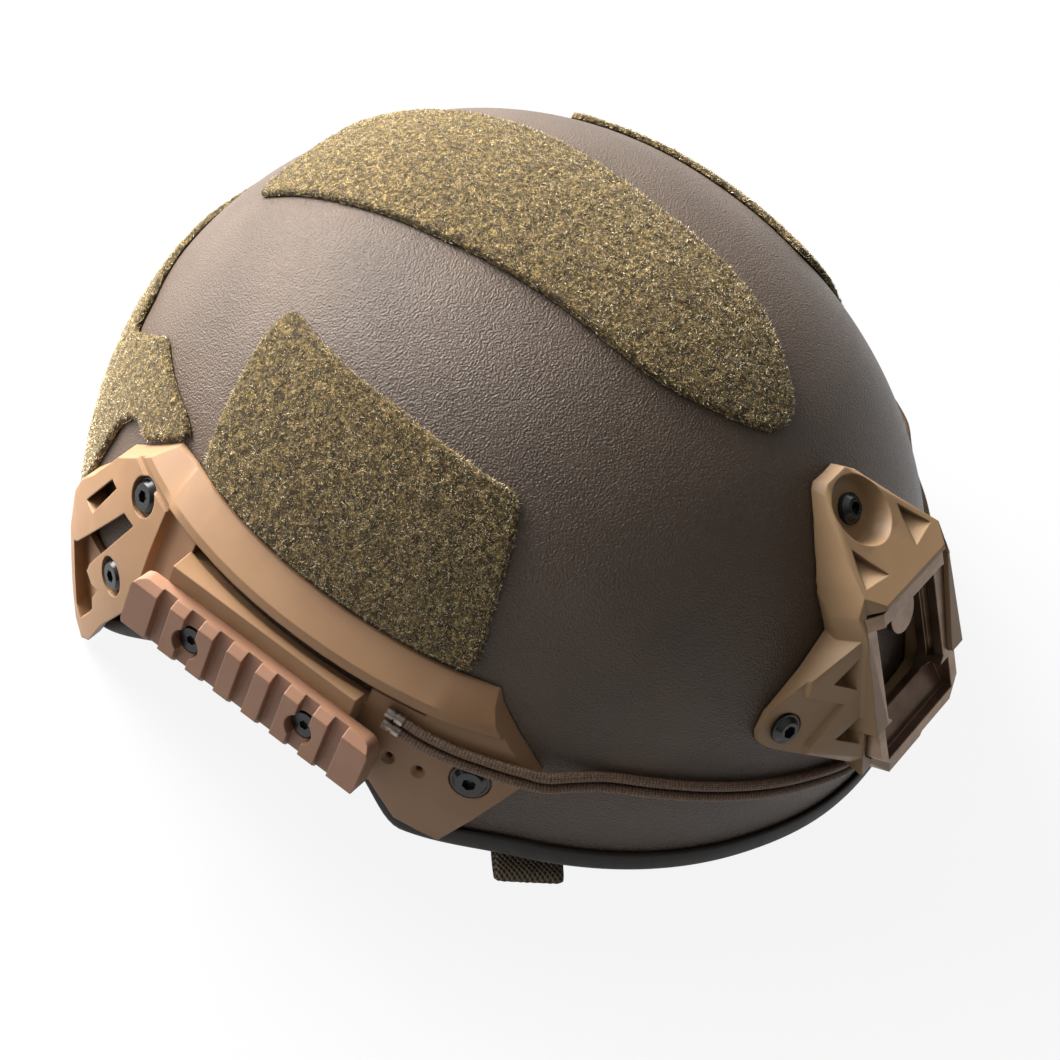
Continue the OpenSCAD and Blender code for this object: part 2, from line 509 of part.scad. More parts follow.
// A tube of eight or more sides along a line of points
module tube(line, d, sides = 8) {
    n = len(line);
    loft([for (i = [0 : n - 1]) let(t = unit(line[min(i + 1, n - 1)] - line[max(i - 1, 0)]),
        a = unit(cross(t, [0, 0, 1])), b = cross(a, t))
        [for (k = [0 : sides - 1]) line[i] + d / 2 * (cos(360 * k / sides) * b - sin(360 * k / sides) * a)]]);
}
// Where the cords end in the tongue of the shroud
module cord_sockets() for (drop = [0, cord_gap]) {
    line = cord_line(drop);
    n = len(line);
    tube([for (i = [n - 4 : n - 1]) line[i]], cord_d + 2 * clear);
}
module cords() color("#5a4636") for (drop = [0, cord_gap]) tube(cord_line(drop), cord_d);
module cords_left() stand() cords();
module cords_right() stand() mirror([1, 0, 0]) cords();
// The crimped ferrules in which the cords end under the rails' lip
module cord_ferrules() color("#6e6258") stand() both() for (drop = [0, cord_gap]) {
    line = cord_line(drop);
    t = unit(line[0] - line[1]);
    translate(line[0] + 0.05 * t) rotate([0, acos(t.z), atan2(t.y, t.x)]) {
        cylinder(d = 3.3, h = 2.4);
        translate([0, 0, 3]) cylinder(d = 3.3, h = 2.4);
        cylinder(d = 2.4, h = 4);
    }
}

// The foam liner, with pockets over the nuts and for the hangers of the cradle
liner_out = -wall - 0.9;
liner_in = liner_out - liner_t;
hanger_x = 24;
hanger_w = 12;
hanger_z = 36;
pocket_y = rear_y(hanger_x + hanger_w / 2, hanger_z + 8, liner_in) + 3;
module impact_liner() color("#2b2a29") stand() difference() {
    cup(liner_out, liner_in, 12, 44, 8);
    both() for (b = rail_bolts) at_side(b[0], b[1], -wall - nut_gap - nut_t - 1)
        cylinder(d = nut_d + 3, h = 9);
    for (b = shroud_bolts) at_shroud_bolt(b) translate([0, 0, -wall - nut_gap - nut_t - 1])
        cylinder(d = nut_d + 3, h = 9);
    both() translate([hanger_x - hanger_w / 2 - 0.5, pocket_y - 30, hanger_z - 8.5])
        cube([hanger_w + 1, 30, 17]);
}

// A comfort pad: crowned, thin at its seam, its sides drawn in between the corners.
// place() gives the point at share u and v over the pad, at a depth from its back
pad_h = liner_in - 1.2;
pad_cols = 8;
pad_rows = 6;
module cushion(place, thick) {
    function grid(front) = [for (i = [0 : pad_cols]) [for (j = [0 : pad_rows]) let(s = i / pad_cols,
        t = j / pad_rows, u = 0.5 + (s - 0.5) * (1 - 0.1 * sin(180 * t)),
        v = 0.5 + (t - 0.5) * (1 - 0.1 * sin(180 * s)),
        crown = pow(max(0, sin(180 * s) * sin(180 * t)), 0.35))
        place(u, v, front ? thick * (0.3 + 0.7 * crown) : 0)]];
    slab(grid(false), grid(true));
}
module liner_pad(place) color("#35322f") stand() cushion(place, pad_t);
function band_pad(az0, az1, z0, z1) = function(u, v, d)
    dome_pt(az0 + (az1 - az0) * u, z0 + (z1 - z0) * v, pad_h - d);
module pad_front() liner_pad(band_pad(-27, 27, 44, 78));
module pad_rear() liner_pad(band_pad(160, 200, 50, 82));
module pad_side_left() liner_pad(band_pad(68, 112, 54, 86));
module pad_side_right() mirror([1, 0, 0]) pad_side_left();
module pad_crown() liner_pad(function(u, v, d) top_pt(34 * (2 * u - 1), 46 * (2 * v - 1), pad_h - d));

// The nape cradle: a flat case with a dial behind it, whose pinion draws two toothed bands inward.
// Its own axes: x to the wearer's right, y up, z to the rear
cradle_y = rear_r - 47;
cradle_z = -2;
case_half = 32;
case_h = 30;
case_t = 8;
lid_t = 2;
teeth = 12;
module_g = 1;
pinion_r = teeth * module_g / 2;
tooth_gap = 0.15;
pinion_z = lid_t + 0.6;
pinion_t = 3.2;
band_travel = 10;
axle_d = 6;
tip_d = 4;
run_gap = 0.05;
knob_d = 32;
module at_cradle() stand() translate([0, cradle_y, cradle_z]) rotate([90, 0, 180]) children();
module case_outline(inset) hull() for (i = [-1, 1]) for (j = [-1, 1])
    translate([i * (case_half - 5), j * (case_h / 2 - 5)]) circle(r = 5 - inset, $fn = 32);
module cradle_housing() color("#252423") at_cradle() {
    difference() {
        translate([0, 0, lid_t]) linear_extrude(case_t - lid_t) case_outline(0);
        translate([0, 0, lid_t - 1]) linear_extrude(case_t - lid_t - 1) case_outline(2.2);
        for (i = [-1, 1]) translate([i > 0 ? 0 : -60, i > 0 ? 4.2 : -11.3, lid_t - 1]) cube([60, 7.1, 4.8]);
        cylinder(d = axle_d + 2 * run_gap, h = 20);
    }
    back = pocket_y - cradle_y;
    up = hanger_z - cradle_z;
    for (i = [-1, 1]) translate([i * hanger_x - hanger_w / 2, 0, 0]) rotate([90, 0, 90])
        linear_extrude(hanger_w) polygon([[case_h / 2 - 0.2, lid_t], [case_h / 2 - 0.2, case_t],
            [case_h / 2 + 5, case_t], [up - 8, back - 5], [up - 8, back - clear], [up + 8, back - clear],
            [up + 8, back - 5], [up - 2, back - 5], [case_h / 2 + 9, lid_t]]);
}
module cradle_cover() color("#2f2d2b") at_cradle() difference() {
    union() {
        linear_extrude(lid_t) case_outline(0);
        translate([0, 0, 1]) cylinder(d = tip_d + 3, h = lid_t - 0.7);
    }
    translate([0, 0, -1]) cylinder(d = tip_d + 2 * run_gap, h = 10);
}
module dial_knob() color("#1a1a1a") at_cradle() {
    translate([0, 0, case_t + clear]) linear_extrude(8) polygon([for (i = [0 : 79])
        (knob_d / 2 - 0.8 + 0.8 * cos(i * 90)) * [cos(i * 4.5), sin(i * 4.5)]]);
    translate([0, 0, case_t + clear + 8]) cylinder(d1 = knob_d - 4, d2 = knob_d - 8, h = 1.5);
    translate([0, 0, pinion_z + pinion_t]) cylinder(d = axle_d, h = case_t + 1 - pinion_z - pinion_t);
    translate([0, 0, 0.5]) cylinder(d = tip_d, h = pinion_z + pinion_t);
}
// An involute flank, from the root to the tip of a tooth
function inv_at(rb, r) = let(a = acos(min(1, rb / r))) tan(a) * 180 / PI - a;
function tooth_half(r) = let(rb = pinion_r * cos(20)) 90 / teeth - tooth_gap / pinion_r * 90 / PI
    + inv_at(rb, pinion_r) - inv_at(rb, max(r, rb));
module pinion() color("#8d8f92") at_cradle() translate([0, 0, pinion_z]) difference() {
    linear_extrude(pinion_t) polygon([for (i = [0 : teeth - 1])
        for (q = [[-1, -1.25], [-1, -0.3], [-1, 0.4], [-1, 1], [1, 1], [1, 0.4], [1, -0.3], [1, -1.25]])
            let(r = pinion_r + q[1] * module_g, a = 360 * i / teeth + q[0] * tooth_half(r))
                r * [sin(a), cos(a)]]);
    translate([0, 0, -1]) cylinder(d = tip_d + 0.04, h = 10);
}
// A toothed band on the upper side of the pinion; its twin is turned by half a turn
band_in = -7;
band_out = case_half + band_travel + 1.5;
tab_l = 11;
module band() {
    pitch_g = PI * module_g;
    flank = tan(20);
    translate([0, 0, lid_t + 0.5]) linear_extrude(3) difference() {
        union() {
            translate([band_in, pinion_r + 1.25]) square([band_out - band_in + 2, 10.9 - pinion_r - 1.25]);
            for (k = [-2 : 4]) polygon([for (q = [[-1, 1.3], [-1, -1], [1, -1], [1, 1.3]])
                [(k + 0.5) * pitch_g + q[0] * (pitch_g / 4 - tooth_gap / 2 + q[1] * flank), pinion_r + q[1]]]);
            translate([band_out, -10.9]) square([tab_l, 21.8]);
        }
        translate([band_out + tab_l - 6, -8]) square([3, 16]);
    }
}
module band_right() color("#3a3836") at_cradle() band();
module band_left() color("#3a3836") at_cradle() rotate([0, 0, 180]) band();

module nape_pad() color("#35322f") at_cradle() cushion(function(u, v, d)
    [(case_half - 1) * (2 * u - 1), (case_h / 2 - 1) * (2 * v - 1), -clear - d], 9);

// A flat webbing along a line; across[i] points over its width there
module ribbon(line, across, w, t) {
    n = len(line);
    loft([for (i = [0 : n - 1]) let(d = unit(line[min(i + 1, n - 1)] - line[max(i - 1, 0)]),
        a = unit(across[i] - (across[i] * d) * d) * w / 2, c = unit(cross(d, a)) * t / 2)
        [line[i] + a + c, line[i] + a - c, line[i] - a - c, line[i] - a + c]]);
}
module at_dome(p) {
    n = normal_at(p);
    translate(p) rotate([0, acos(n.z), atan2(n.y, n.x)]) children();
}

// The webbing: anchors on the liner, two straps on each side, a junction, a buckle and a chin cup.
// The straps lie on the surface that the helmet stands on
anchor_t = 4.4;
anchor_l = 12;
front_az = 47.5;
rear_az = 118;
band_az = 131;
anchor_h = liner_in - 2.5;
front_anchor = dome_pt(front_az, 47, anchor_h);
rear_anchor = dome_pt(rear_az, 47, anchor_h);
band_anchor = dome_pt(band_az, 12, anchor_h);
// Along an anchor's slot, at a distance from its middle, its mouth turned from straight down
function down_of(n) = let(k = norm([n.x, n.y])) [n.z * n.x / k, n.z * n.y / k, -k];
function side_of(n) = unit([-n.y, n.x, 0]);
function anchor_pt(p, d, turn) = let(n = normal_at(p))
    p + d * (cos(turn) * down_of(n) + sin(turn) * side_of(n)) - anchor_t / 2 * n;
function anchor_across(p, turn) = let(n = normal_at(p)) cos(turn) * side_of(n) - sin(turn) * down_of(n);
band_slope = 56;
module anchor_body(slot) difference() {
    translate([-anchor_l / 2, -slot / 2 - 3, -anchor_t]) cube([anchor_l, slot + 6, anchor_t]);
    translate([-anchor_l / 2 + 5, -slot / 2 - 0.4, -anchor_t / 2 - web_t / 2 - 0.5])
        cube([anchor_l, slot + 0.8, web_t + 1]);
}
module strap_anchors() color("#201f1e") stand() both() {
    at_dome(front_anchor) anchor_body(web_w);
    at_dome(rear_anchor) anchor_body(web_w);
    at_dome(band_anchor) rotate([0, 0, band_slope]) anchor_body(band_w);
}
web_h = anchor_h - anchor_t / 2;
function tangent(az) = [cos(az), sin(az), 0];
function turned(v) = placed(v) - placed([0, 0, 0]);

// The junction of the straps, on the floor beside each ear: its middle, and where the chin strap leaves
junction_x = 74;
junction_y = 4;
junction_t = 5.6;
web_z = 0.4 + junction_t / 2;
chin_turn = 49;
chin_w = 16;
module junction_slot(w) translate([-w / 2 - 0.4, -30, junction_t / 2 - web_t / 2 - 0.4])
    cube([w + 0.8, 30, web_t + 0.8]);
module junction() translate([junction_x, junction_y, 0.4]) difference() {
    linear_extrude(junction_t) polygon([[-13, -15], [13, -15], [13, 15], [-13, 15], [-24, 4], [-27, -5],
        [-20, -14]]);
    translate([0, -8, 0]) junction_slot(web_w);
    translate([0, 8, 0]) rotate(180) junction_slot(web_w);
    translate([-15, -3, 0]) rotate(chin_turn) translate([0, 0, junction_t / 2 - web_t / 2 - 0.4])
        translate([-30, -chin_w / 2 - 0.4, 0]) cube([30, chin_w + 0.8, web_t + 0.8]);
}
module strap_junction_left() color("#201f1e") junction();
module strap_junction_right() mirror([1, 0, 0]) strap_junction_left();

web_out = anchor_l / 2 + 2;
front_route = [[web_h + 1.6, 29], [-17, 21], [-11, 15.6], [-4.5, 13], [-0.6, 12.2],
    [0.7, 11], [-0.8, 9.9], [-6, 9.3], [-14, 9.6], [-24, 10.6]];
front_line = concat([for (d = [0, web_out]) placed(anchor_pt(front_anchor, d, 0))],
    [for (q = front_route) placed(dome_pt(front_az, q[1], q[0]))],
    [[junction_x + 1, junction_y - 40, web_z + 1], [junction_x, junction_y - 28, web_z],
    [junction_x, junction_y - 18, web_z], [junction_x, junction_y - 10, web_z]]);
front_across = concat([for (d = [0, 1]) turned(anchor_across(front_anchor, 0))],
    [for (q = front_route) turned(tangent(front_az))], [[1, 0.5, 0], [1, 0.1, 0], [1, 0, 0], [1, 0, 0]]);
module strap_front_left() color("#4b4035") ribbon(front_line, front_across, web_w, web_t);
module strap_front_right() mirror([1, 0, 0]) strap_front_left();

rear_line = concat([for (d = [0, web_out]) placed(anchor_pt(rear_anchor, d, 0))],
    [placed(dome_pt(rear_az, 28, web_h - 1))],
    [[junction_x + 3, junction_y + 36, 16], [junction_x, junction_y + 26, web_z + 3.5],
    [junction_x, junction_y + 18, web_z], [junction_x, junction_y + 10, web_z]]);
rear_across = concat([for (d = [0, 1]) turned(anchor_across(rear_anchor, 0))],
    [-turned(tangent(rear_az))], [[1, -0.3, 0], [1, 0, 0], [1, 0, 0], [1, 0, 0]]);
module strap_rear_left() color("#4b4035") ribbon(rear_line, rear_across, web_w, web_t);
module strap_rear_right() mirror([1, 0, 0]) strap_rear_left();

// The elastic straps from the cradle's bands to the liner, at rest
band_w = 14;
band_mid = cradle_y + lid_t + 2;
band_line = concat([for (p = [[band_out + tab_l + 2 * clear, band_mid], [band_out + tab_l + 4, band_mid - 1.6]])
    [p[0], p[1], cradle_z]],
    [for (q = [[143, -3], [139, 1]]) dome_pt(q[0], q[1], web_h)],
    [for (d = [web_out, 0]) anchor_pt(band_anchor, d, band_slope)]);
band_across = concat([for (i = [0 : 3]) [0, 0.05 * i, 1]],
    [for (d = [0, 1]) anchor_across(band_anchor, band_slope)]);
module band_strap_left() color("#2b2a29") stand() ribbon(band_line, band_across, band_w, web_t);
module band_strap_right() mirror([1, 0, 0]) band_strap_left();

// The buckle and the cup, along the line that leaves the right junction
buckle_at = 13.5;
buckle_w = 26;
buckle_t = junction_t;
female_l = 22;
male_l = 8;
cup_from = 50;
cup_w = 26;
cup_t = 9;
chin_start = [junction_x - 15, junction_y - 3];
chin_end = chin_start - cup_from * [cos(chin_turn), sin(chin_turn)];
cup_r = chin_end.x / sin(chin_turn);
cup_mid_y = chin_end.y + cup_r * cos(chin_turn);
module on_chin_line() translate([-chin_start.x, chin_start.y, 0.4]) rotate(-chin_turn) children();
function chin_line(s) = [chin_start.x - s[0] * cos(chin_turn), chin_start.y - s[0] * sin(chin_turn), s[1]];
chin_across = [sin(chin_turn), -cos(chin_turn), 0];
module chin_web(stations)
    ribbon([for (s = stations) chin_line(s)], [for (s = stations) chin_across], chin_w, web_t);
module chin_strap_right() color("#4b4035") mirror([1, 0, 0]) chin_web([[3, web_z], [18.5, web_z]]);
module chin_strap_mid() color("#4b4035") mirror([1, 0, 0])
    chin_web([[buckle_at + female_l + 4, web_z], [buckle_at + female_l + male_l, web_z],
        [cup_from + 1.1, 1.9]]);
module chin_strap_left() color("#4b4035")
    chin_web([[3, web_z], [14, web_z], [30, 2.2], [cup_from + 1.1, 1.9]]);
module strap_pocket(x0, x1) translate([x0, -chin_w / 2 - 0.4, buckle_t / 2 - web_t / 2 - 0.4])
    cube([x1 - x0, chin_w + 0.8, web_t + 0.8]);
module buckle_female() color("#1c1b1a") on_chin_line() difference() {
    translate([buckle_at, -buckle_w / 2, 0]) cube([female_l, buckle_w, buckle_t]);
    strap_pocket(buckle_at - 1, buckle_at + 6);
    translate([buckle_at + 8, -10, 1]) cube([female_l, 20, buckle_t - 2]);
    for (i = [-1, 1]) translate([buckle_at + 11, i * 13 - 4, 0.6]) cube([6.5, 8, buckle_t - 1.2]);
}
module buckle_male() color("#1c1b1a") on_chin_line() translate([buckle_at + female_l + clear, 0, 0]) {
    difference() {
        translate([0, -buckle_w / 2 + 1, 0]) cube([male_l, buckle_w - 2, buckle_t]);
        strap_pocket(3, male_l + 1);
    }
    for (i = [-1, 1]) translate([0, 0, 1.3]) linear_extrude(buckle_t - 2.6)
        polygon([[0.2, i * 7], [-8, i * 7], [-11.5, i * 7.6], [-11, i * 9.6], [-5, i * 9.6], [-4.4, i * 8.8],
            [0.2, i * 8.8]]);
    translate([-9, -2, 1.3]) cube([9.2, 4, buckle_t - 2.6]);
}
module chin_cup() color("#35322f") cushion(function(u, v, d) let(a = chin_turn * (2 * u - 1),
    r = cup_r + (v - 0.5) * cup_w) [r * sin(a), cup_mid_y - r * cos(a), 0.5 + d], cup_t);

shell();
edge_trim();
rail_right();
rail_left();
accessory_rail_right();
accessory_rail_left();
accessory_screws();
rail_screws();
shroud_base();
shroud_insert();
shroud_screws();
loop_crown();
loop_side_right();
loop_side_left();
loop_rear();
cords_right();
cords_left();
cord_ferrules();
impact_liner();
pad_front();
pad_crown();
pad_rear();
pad_side_right();
pad_side_left();
cradle_housing();
cradle_cover();
dial_knob();
pinion();
band_right();
band_left();
nape_pad();
strap_anchors();
strap_junction_right();
strap_junction_left();
strap_front_right();
strap_front_left();
strap_rear_right();
strap_rear_left();
band_strap_right();
band_strap_left();
chin_strap_right();
buckle_female();
buckle_male();
chin_strap_mid();
chin_cup();
chin_strap_left();
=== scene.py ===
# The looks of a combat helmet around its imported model.
# Lengths are in metres: +X is the wearer's left, -Y the front, +Z up. Shapes on the shell are worked
# out on the level helmet, as worn, and are then tilted as the helmet stands.
import math

import bmesh
import bpy
import numpy as np
from mathutils import Matrix, Vector, noise


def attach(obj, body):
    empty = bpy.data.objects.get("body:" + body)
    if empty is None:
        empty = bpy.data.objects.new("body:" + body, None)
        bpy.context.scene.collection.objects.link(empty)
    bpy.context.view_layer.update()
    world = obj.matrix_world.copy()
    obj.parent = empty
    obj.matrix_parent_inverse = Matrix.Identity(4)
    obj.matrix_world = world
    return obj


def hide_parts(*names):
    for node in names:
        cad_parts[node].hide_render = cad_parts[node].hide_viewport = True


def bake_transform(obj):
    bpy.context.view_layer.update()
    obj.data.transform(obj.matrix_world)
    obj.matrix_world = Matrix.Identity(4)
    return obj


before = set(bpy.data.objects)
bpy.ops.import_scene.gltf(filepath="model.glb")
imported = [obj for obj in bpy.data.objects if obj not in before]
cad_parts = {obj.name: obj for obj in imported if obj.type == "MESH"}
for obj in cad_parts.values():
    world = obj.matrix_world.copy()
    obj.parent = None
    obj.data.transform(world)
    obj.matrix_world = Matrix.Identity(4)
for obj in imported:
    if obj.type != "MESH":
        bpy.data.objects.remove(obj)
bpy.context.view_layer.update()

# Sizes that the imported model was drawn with. The shell's outside is a superellipsoid: half its width,
# its reach to the front and to the rear, its height, and its exponents in plan and upright
HALF_W, FRONT_R, REAR_R, CROWN_H = 0.120, 0.140, 0.129, 0.1395
WALL = 0.008
PLAN_E, DOME_E = 2.085, 2.2
BROW_Z, EAR_Z, NAPE_Z = 0.021, 0.032, 0.026
# The rim's steps round one side: from which azimuth to which, and how far it rises
RIM_START = BROW_Z - 0.002
RIM_STEPS = [
    (0, 22, 0.003), (50, 66, -0.005), (65, 74, EAR_Z - BROW_Z + 0.004), (96, 131, -(EAR_Z + NAPE_Z - 0.006)),
    (130, 165, -0.006)]
TRIM_H, TRIM_T = 0.006, 0.0016
TRIM_COLS = 420
CLEAR = 0.0003
TILT = math.radians(10.2621)
SHIFT, LIFT = 0.0110219, 0.00801197
RAIL_TOP = 0.0735
LOOP_T = 0.002
PLATE_T = 0.005
CORD_D = 0.0028
BRAID_TURNS, BRAID_LAY = 7, 0.0019
WEB_W, WEB_T, WEB_RIB = 0.020, 0.0016, 0.0017
LINER_OUT = -WALL - 0.0009
LINER_IN = LINER_OUT - 0.012
LINER_LIFT = 0.012
PAD_H, PAD_T = LINER_IN - 0.0012, 0.014
SAME, MIRROR = np.array([1, 1, 1]), np.array([-1, 1, 1])
BOTH_SIDES = ((SAME, "left"), (MIRROR, "right"))

# The camera that was fitted to the photograph, on the level helmet: its place and its axes
EYE = (-0.4443, -0.1946, 0.5523)
VIEW_RIGHT = (0.5922, -0.7724, 0.2294)
VIEW_DOWN = (-0.5155, -0.5820, -0.6289)
FOCAL_PX, FRAME_PX = 2284.24, 1060
SENSOR = 36.0

# Points closer than this are one point
MERGE = 1e-6
FLAT_MAP = "flat"

rng = np.random.default_rng(7)


def turn(v):
    """Tilts directions, or points around the shell's centre, as the helmet stands."""
    v = np.asarray(v, float)
    y = v[..., 1] * math.cos(TILT) - v[..., 2] * math.sin(TILT)
    z = v[..., 1] * math.sin(TILT) + v[..., 2] * math.cos(TILT)
    return np.stack([v[..., 0], y, z], -1)


def place(p):
    """Points of the level helmet to where they are on the standing one."""
    return turn(p) + np.array([0, SHIFT, LIFT])


def unit(v):
    """Vectors of length one."""
    return v / np.maximum(np.linalg.norm(v, axis=-1, keepdims=True), 1e-12)


def reach(y, h):
    """The shell's radius to the front or the rear, at a stand-off."""
    return np.where(y < 0, FRONT_R, REAR_R) + h


def share(z, h):
    """How wide the dome is at a height, as a share of its foot."""
    rise = np.maximum(z, 0) / (CROWN_H + h)
    return np.maximum(1 - rise**DOME_E, 0) ** (1 / DOME_E)


def dome(az, z, h):
    """A point on the dome at an azimuth in degrees, a height and a stand-off."""
    x, y = np.sin(np.radians(az)), -np.cos(np.radians(az))
    r = (np.abs(x / (HALF_W + h)) ** PLAN_E + np.abs(y / reach(y, h)) ** PLAN_E) ** (-1 / PLAN_E)
    r = r * share(z, h)
    return np.stack(np.broadcast_arrays(r * x, r * y, z), -1)


def top_point(x, y, h):
    """The dome's point over a place in plan."""
    flat = np.abs(x / (HALF_W + h)) ** PLAN_E + np.abs(y / reach(y, h)) ** PLAN_E
    z = (CROWN_H + h) * np.maximum(1 - flat ** (DOME_E / PLAN_E), 0) ** (1 / DOME_E)
    return np.stack(np.broadcast_arrays(x, y, z), -1)


def side_point(y, z, h):
    """The dome's left point at a length and a height."""
    inner = share(z, h) ** PLAN_E - np.abs(y / reach(y, h)) ** PLAN_E
    return np.stack(np.broadcast_arrays((HALF_W + h) * np.maximum(inner, 0) ** (1 / PLAN_E), y, z), -1)


def outward(p):
    """The dome's outward normal at level points."""
    x, y, z = p[..., 0], p[..., 1], p[..., 2]
    r = (np.abs(x / HALF_W) ** PLAN_E + np.abs(y / reach(y, 0)) ** PLAN_E) ** (1 / PLAN_E)
    grow = np.maximum(r, 1e-6) ** (DOME_E - PLAN_E)
    return unit(np.stack([
        np.sign(x) * grow * np.abs(x / HALF_W) ** (PLAN_E - 1) / HALF_W,
        np.sign(y) * grow * np.abs(y / reach(y, 0)) ** (PLAN_E - 1) / reach(y, 0),
        (np.maximum(z, 0) / CROWN_H) ** (DOME_E - 1) / CROWN_H,
    ], -1))


def ease(a, b, t):
    """A smooth step from 0 at a to 1 at b."""
    u = np.clip((t - a) / (b - a), 0, 1)
    return u * u * (3 - 2 * u)


def rim_z(az):
    """The height of the shell's rim at an azimuth in degrees."""
    a = np.where(az > 180, 360 - az, az)
    z = RIM_START
    for first, last, rise in RIM_STEPS:
        z = z + rise * ease(first, last, a)
    return z


def link(name, points, quads=(), tris=(), smooth=True):
    """A mesh object from points on the standing helmet and the faces between them."""
    quads = np.asarray(quads, np.int64).reshape(-1, 4)
    tris = np.asarray(tris, np.int64).reshape(-1, 3)
    mesh = bpy.data.meshes.new(name)
    mesh.vertices.add(len(points))
    mesh.vertices.foreach_set("co", np.asarray(points, np.float32).ravel())
    corners = np.concatenate([quads.ravel(), tris.ravel()]).astype(np.int32)
    mesh.loops.add(len(corners))
    mesh.loops.foreach_set("vertex_index", corners)
    starts = np.concatenate([np.arange(len(quads)) * 4, len(quads) * 4 + np.arange(len(tris)) * 3])
    mesh.polygons.add(len(starts))
    mesh.polygons.foreach_set("loop_start", starts.astype(np.int32))
    mesh.polygons.foreach_set("use_smooth", np.full(len(starts), smooth))
    mesh.update(calc_edges=True)
    mesh.validate()
    made = bpy.data.objects.new(name, mesh)
    bpy.context.scene.collection.objects.link(made)
    return made


def grid_quads(rows, cols, wrap_rows=False, wrap_cols=False, base=0):
    """The faces between rows and columns of points."""
    i = np.arange(rows if wrap_rows else rows - 1)[:, None]
    j = np.arange(cols if wrap_cols else cols - 1)[None, :]
    a = i * cols + j
    b = i * cols + (j + 1) % cols
    c = ((i + 1) % rows) * cols + (j + 1) % cols
    d = ((i + 1) % rows) * cols + j
    return np.stack(np.broadcast_arrays(a, b, c, d), -1).reshape(-1, 4) + base


def fan(ring, tip):
    """The faces between a closed ring of point numbers and one point."""
    return np.stack([ring, np.roll(ring, -1), np.full(len(ring), tip)], 1)


def finish(piece, slot_name, surface, *nodes):
    """Gives a new piece its material and hides the nodes that it stands for."""
    piece.data.materials.clear()
    piece.data.materials.append(surface)
    if nodes:
        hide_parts(*nodes)
    return piece


def wear(piece, body, slot_name, surface, *nodes):
    """Finishes a new piece that rides on one body."""
    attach(piece, body)
    return finish(piece, slot_name, surface, *nodes)


# Materials
class Nodes:
    """Short names for the nodes of one material."""

    def __init__(self, name, roughness=0.5, metallic=0.0):
        self.material = bpy.data.materials.new(name)
        self.material.use_nodes = True
        self.tree = self.material.node_tree
        self.shader = self.tree.nodes["Principled BSDF"]
        self.shader.inputs["Roughness"].default_value = roughness
        self.shader.inputs["Metallic"].default_value = metallic
        self.spot = self.tree.nodes.new("ShaderNodeTexCoord").outputs["Object"]

    def new(self, kind, **settings):
        """A node with its sockets or its own settings filled in."""
        made = self.tree.nodes.new("ShaderNode" + kind)
        for key, value in settings.items():
            if key in made.inputs:
                made.inputs[key].default_value = value
            else:
                setattr(made, key, value)
        return made

    def join(self, a, b):
        self.tree.links.new(a, b)

    def noise(self, size, detail=2.0, rough=0.5, warp=0.0):
        made = self.new("TexNoise", Scale=1 / size, Detail=detail, Roughness=rough, Distortion=warp)
        self.join(self.spot, made.inputs["Vector"])
        return made.outputs["Fac"]

    def flat_uv(self):
        """The piece's own flat coordinates, across it and along it."""
        parts = self.new("SeparateXYZ")
        self.join(self.new("UVMap", uv_map=FLAT_MAP).outputs["UV"], parts.inputs[0])
        return parts.outputs[0], parts.outputs[1]

    def math(self, operation, a, b=None, clamp=False):
        made = self.new("Math", operation=operation, use_clamp=clamp)
        for socket, value in zip(made.inputs, (a, b)):
            if value is None:
                continue
            if isinstance(value, (int, float)):
                socket.default_value = value
            else:
                self.join(value, socket)
        return made.outputs[0]

    def mix(self, *weighed):
        """The sum of some values, each times its weight."""
        scaled = [self.math("MULTIPLY", value, weight) for value, weight in weighed]
        total = scaled[0]
        for value in scaled[1:]:
            total = self.math("ADD", total, value)
        return total

    def ramp(self, value, *stops):
        made = self.new("ValToRGB")
        points = made.color_ramp.elements
        while len(points) < len(stops):
            points.new(0.5)
        for point, (position, colour) in zip(points, stops):
            point.position = position
            point.color = (*colour, 1)
        self.join(value, made.inputs["Fac"])
        return made.outputs["Color"]

    def colour(self, value, *stops):
        """The surface's colour follows a value, from stop to stop."""
        self.join(self.ramp(value, *stops), self.shader.inputs["Base Color"])

    def rough(self, value, low, high):
        """The roughness follows a value, between two limits."""
        made = self.new("MapRange")
        made.inputs["To Min"].default_value = low
        made.inputs["To Max"].default_value = high
        self.join(value, made.inputs["Value"])
        self.join(made.outputs[0], self.shader.inputs["Roughness"])

    def sheen(self, weight, roughness, tint=None):
        self.shader.inputs["Sheen Weight"].default_value = weight
        self.shader.inputs["Sheen Roughness"].default_value = roughness
        if tint:
            self.shader.inputs["Sheen Tint"].default_value = tint

    def bump(self, height, depth, strength, normal=None):
        """Relief of a depth in metres, on the plain normal or on another one."""
        made = self.new("Bump", Distance=depth, Strength=strength)
        self.join(height, made.inputs["Height"])
        if normal is not None:
            self.join(normal, made.inputs["Normal"])
        self.join(made.outputs["Normal"], self.shader.inputs["Normal"])

    def soft_edges(self, radius):
        """Normals that round the edges off, for a bump on top."""
        made = self.new("Bevel", samples=6)
        made.inputs["Radius"].default_value = radius
        return made.outputs["Normal"]


def paint():
    """Earth-brown paint with a fine orange peel, a little mottled."""
    m = Nodes("paint")
    m.colour(m.noise(0.03, 3.0), (0.32, (0.071, 0.047, 0.031)), (0.68, (0.095, 0.063, 0.042)))
    m.rough(m.noise(0.012, 4.0), 0.35, 0.45)
    m.bump(m.noise(0.00060), 0.00062, 0.9)
    return m.material


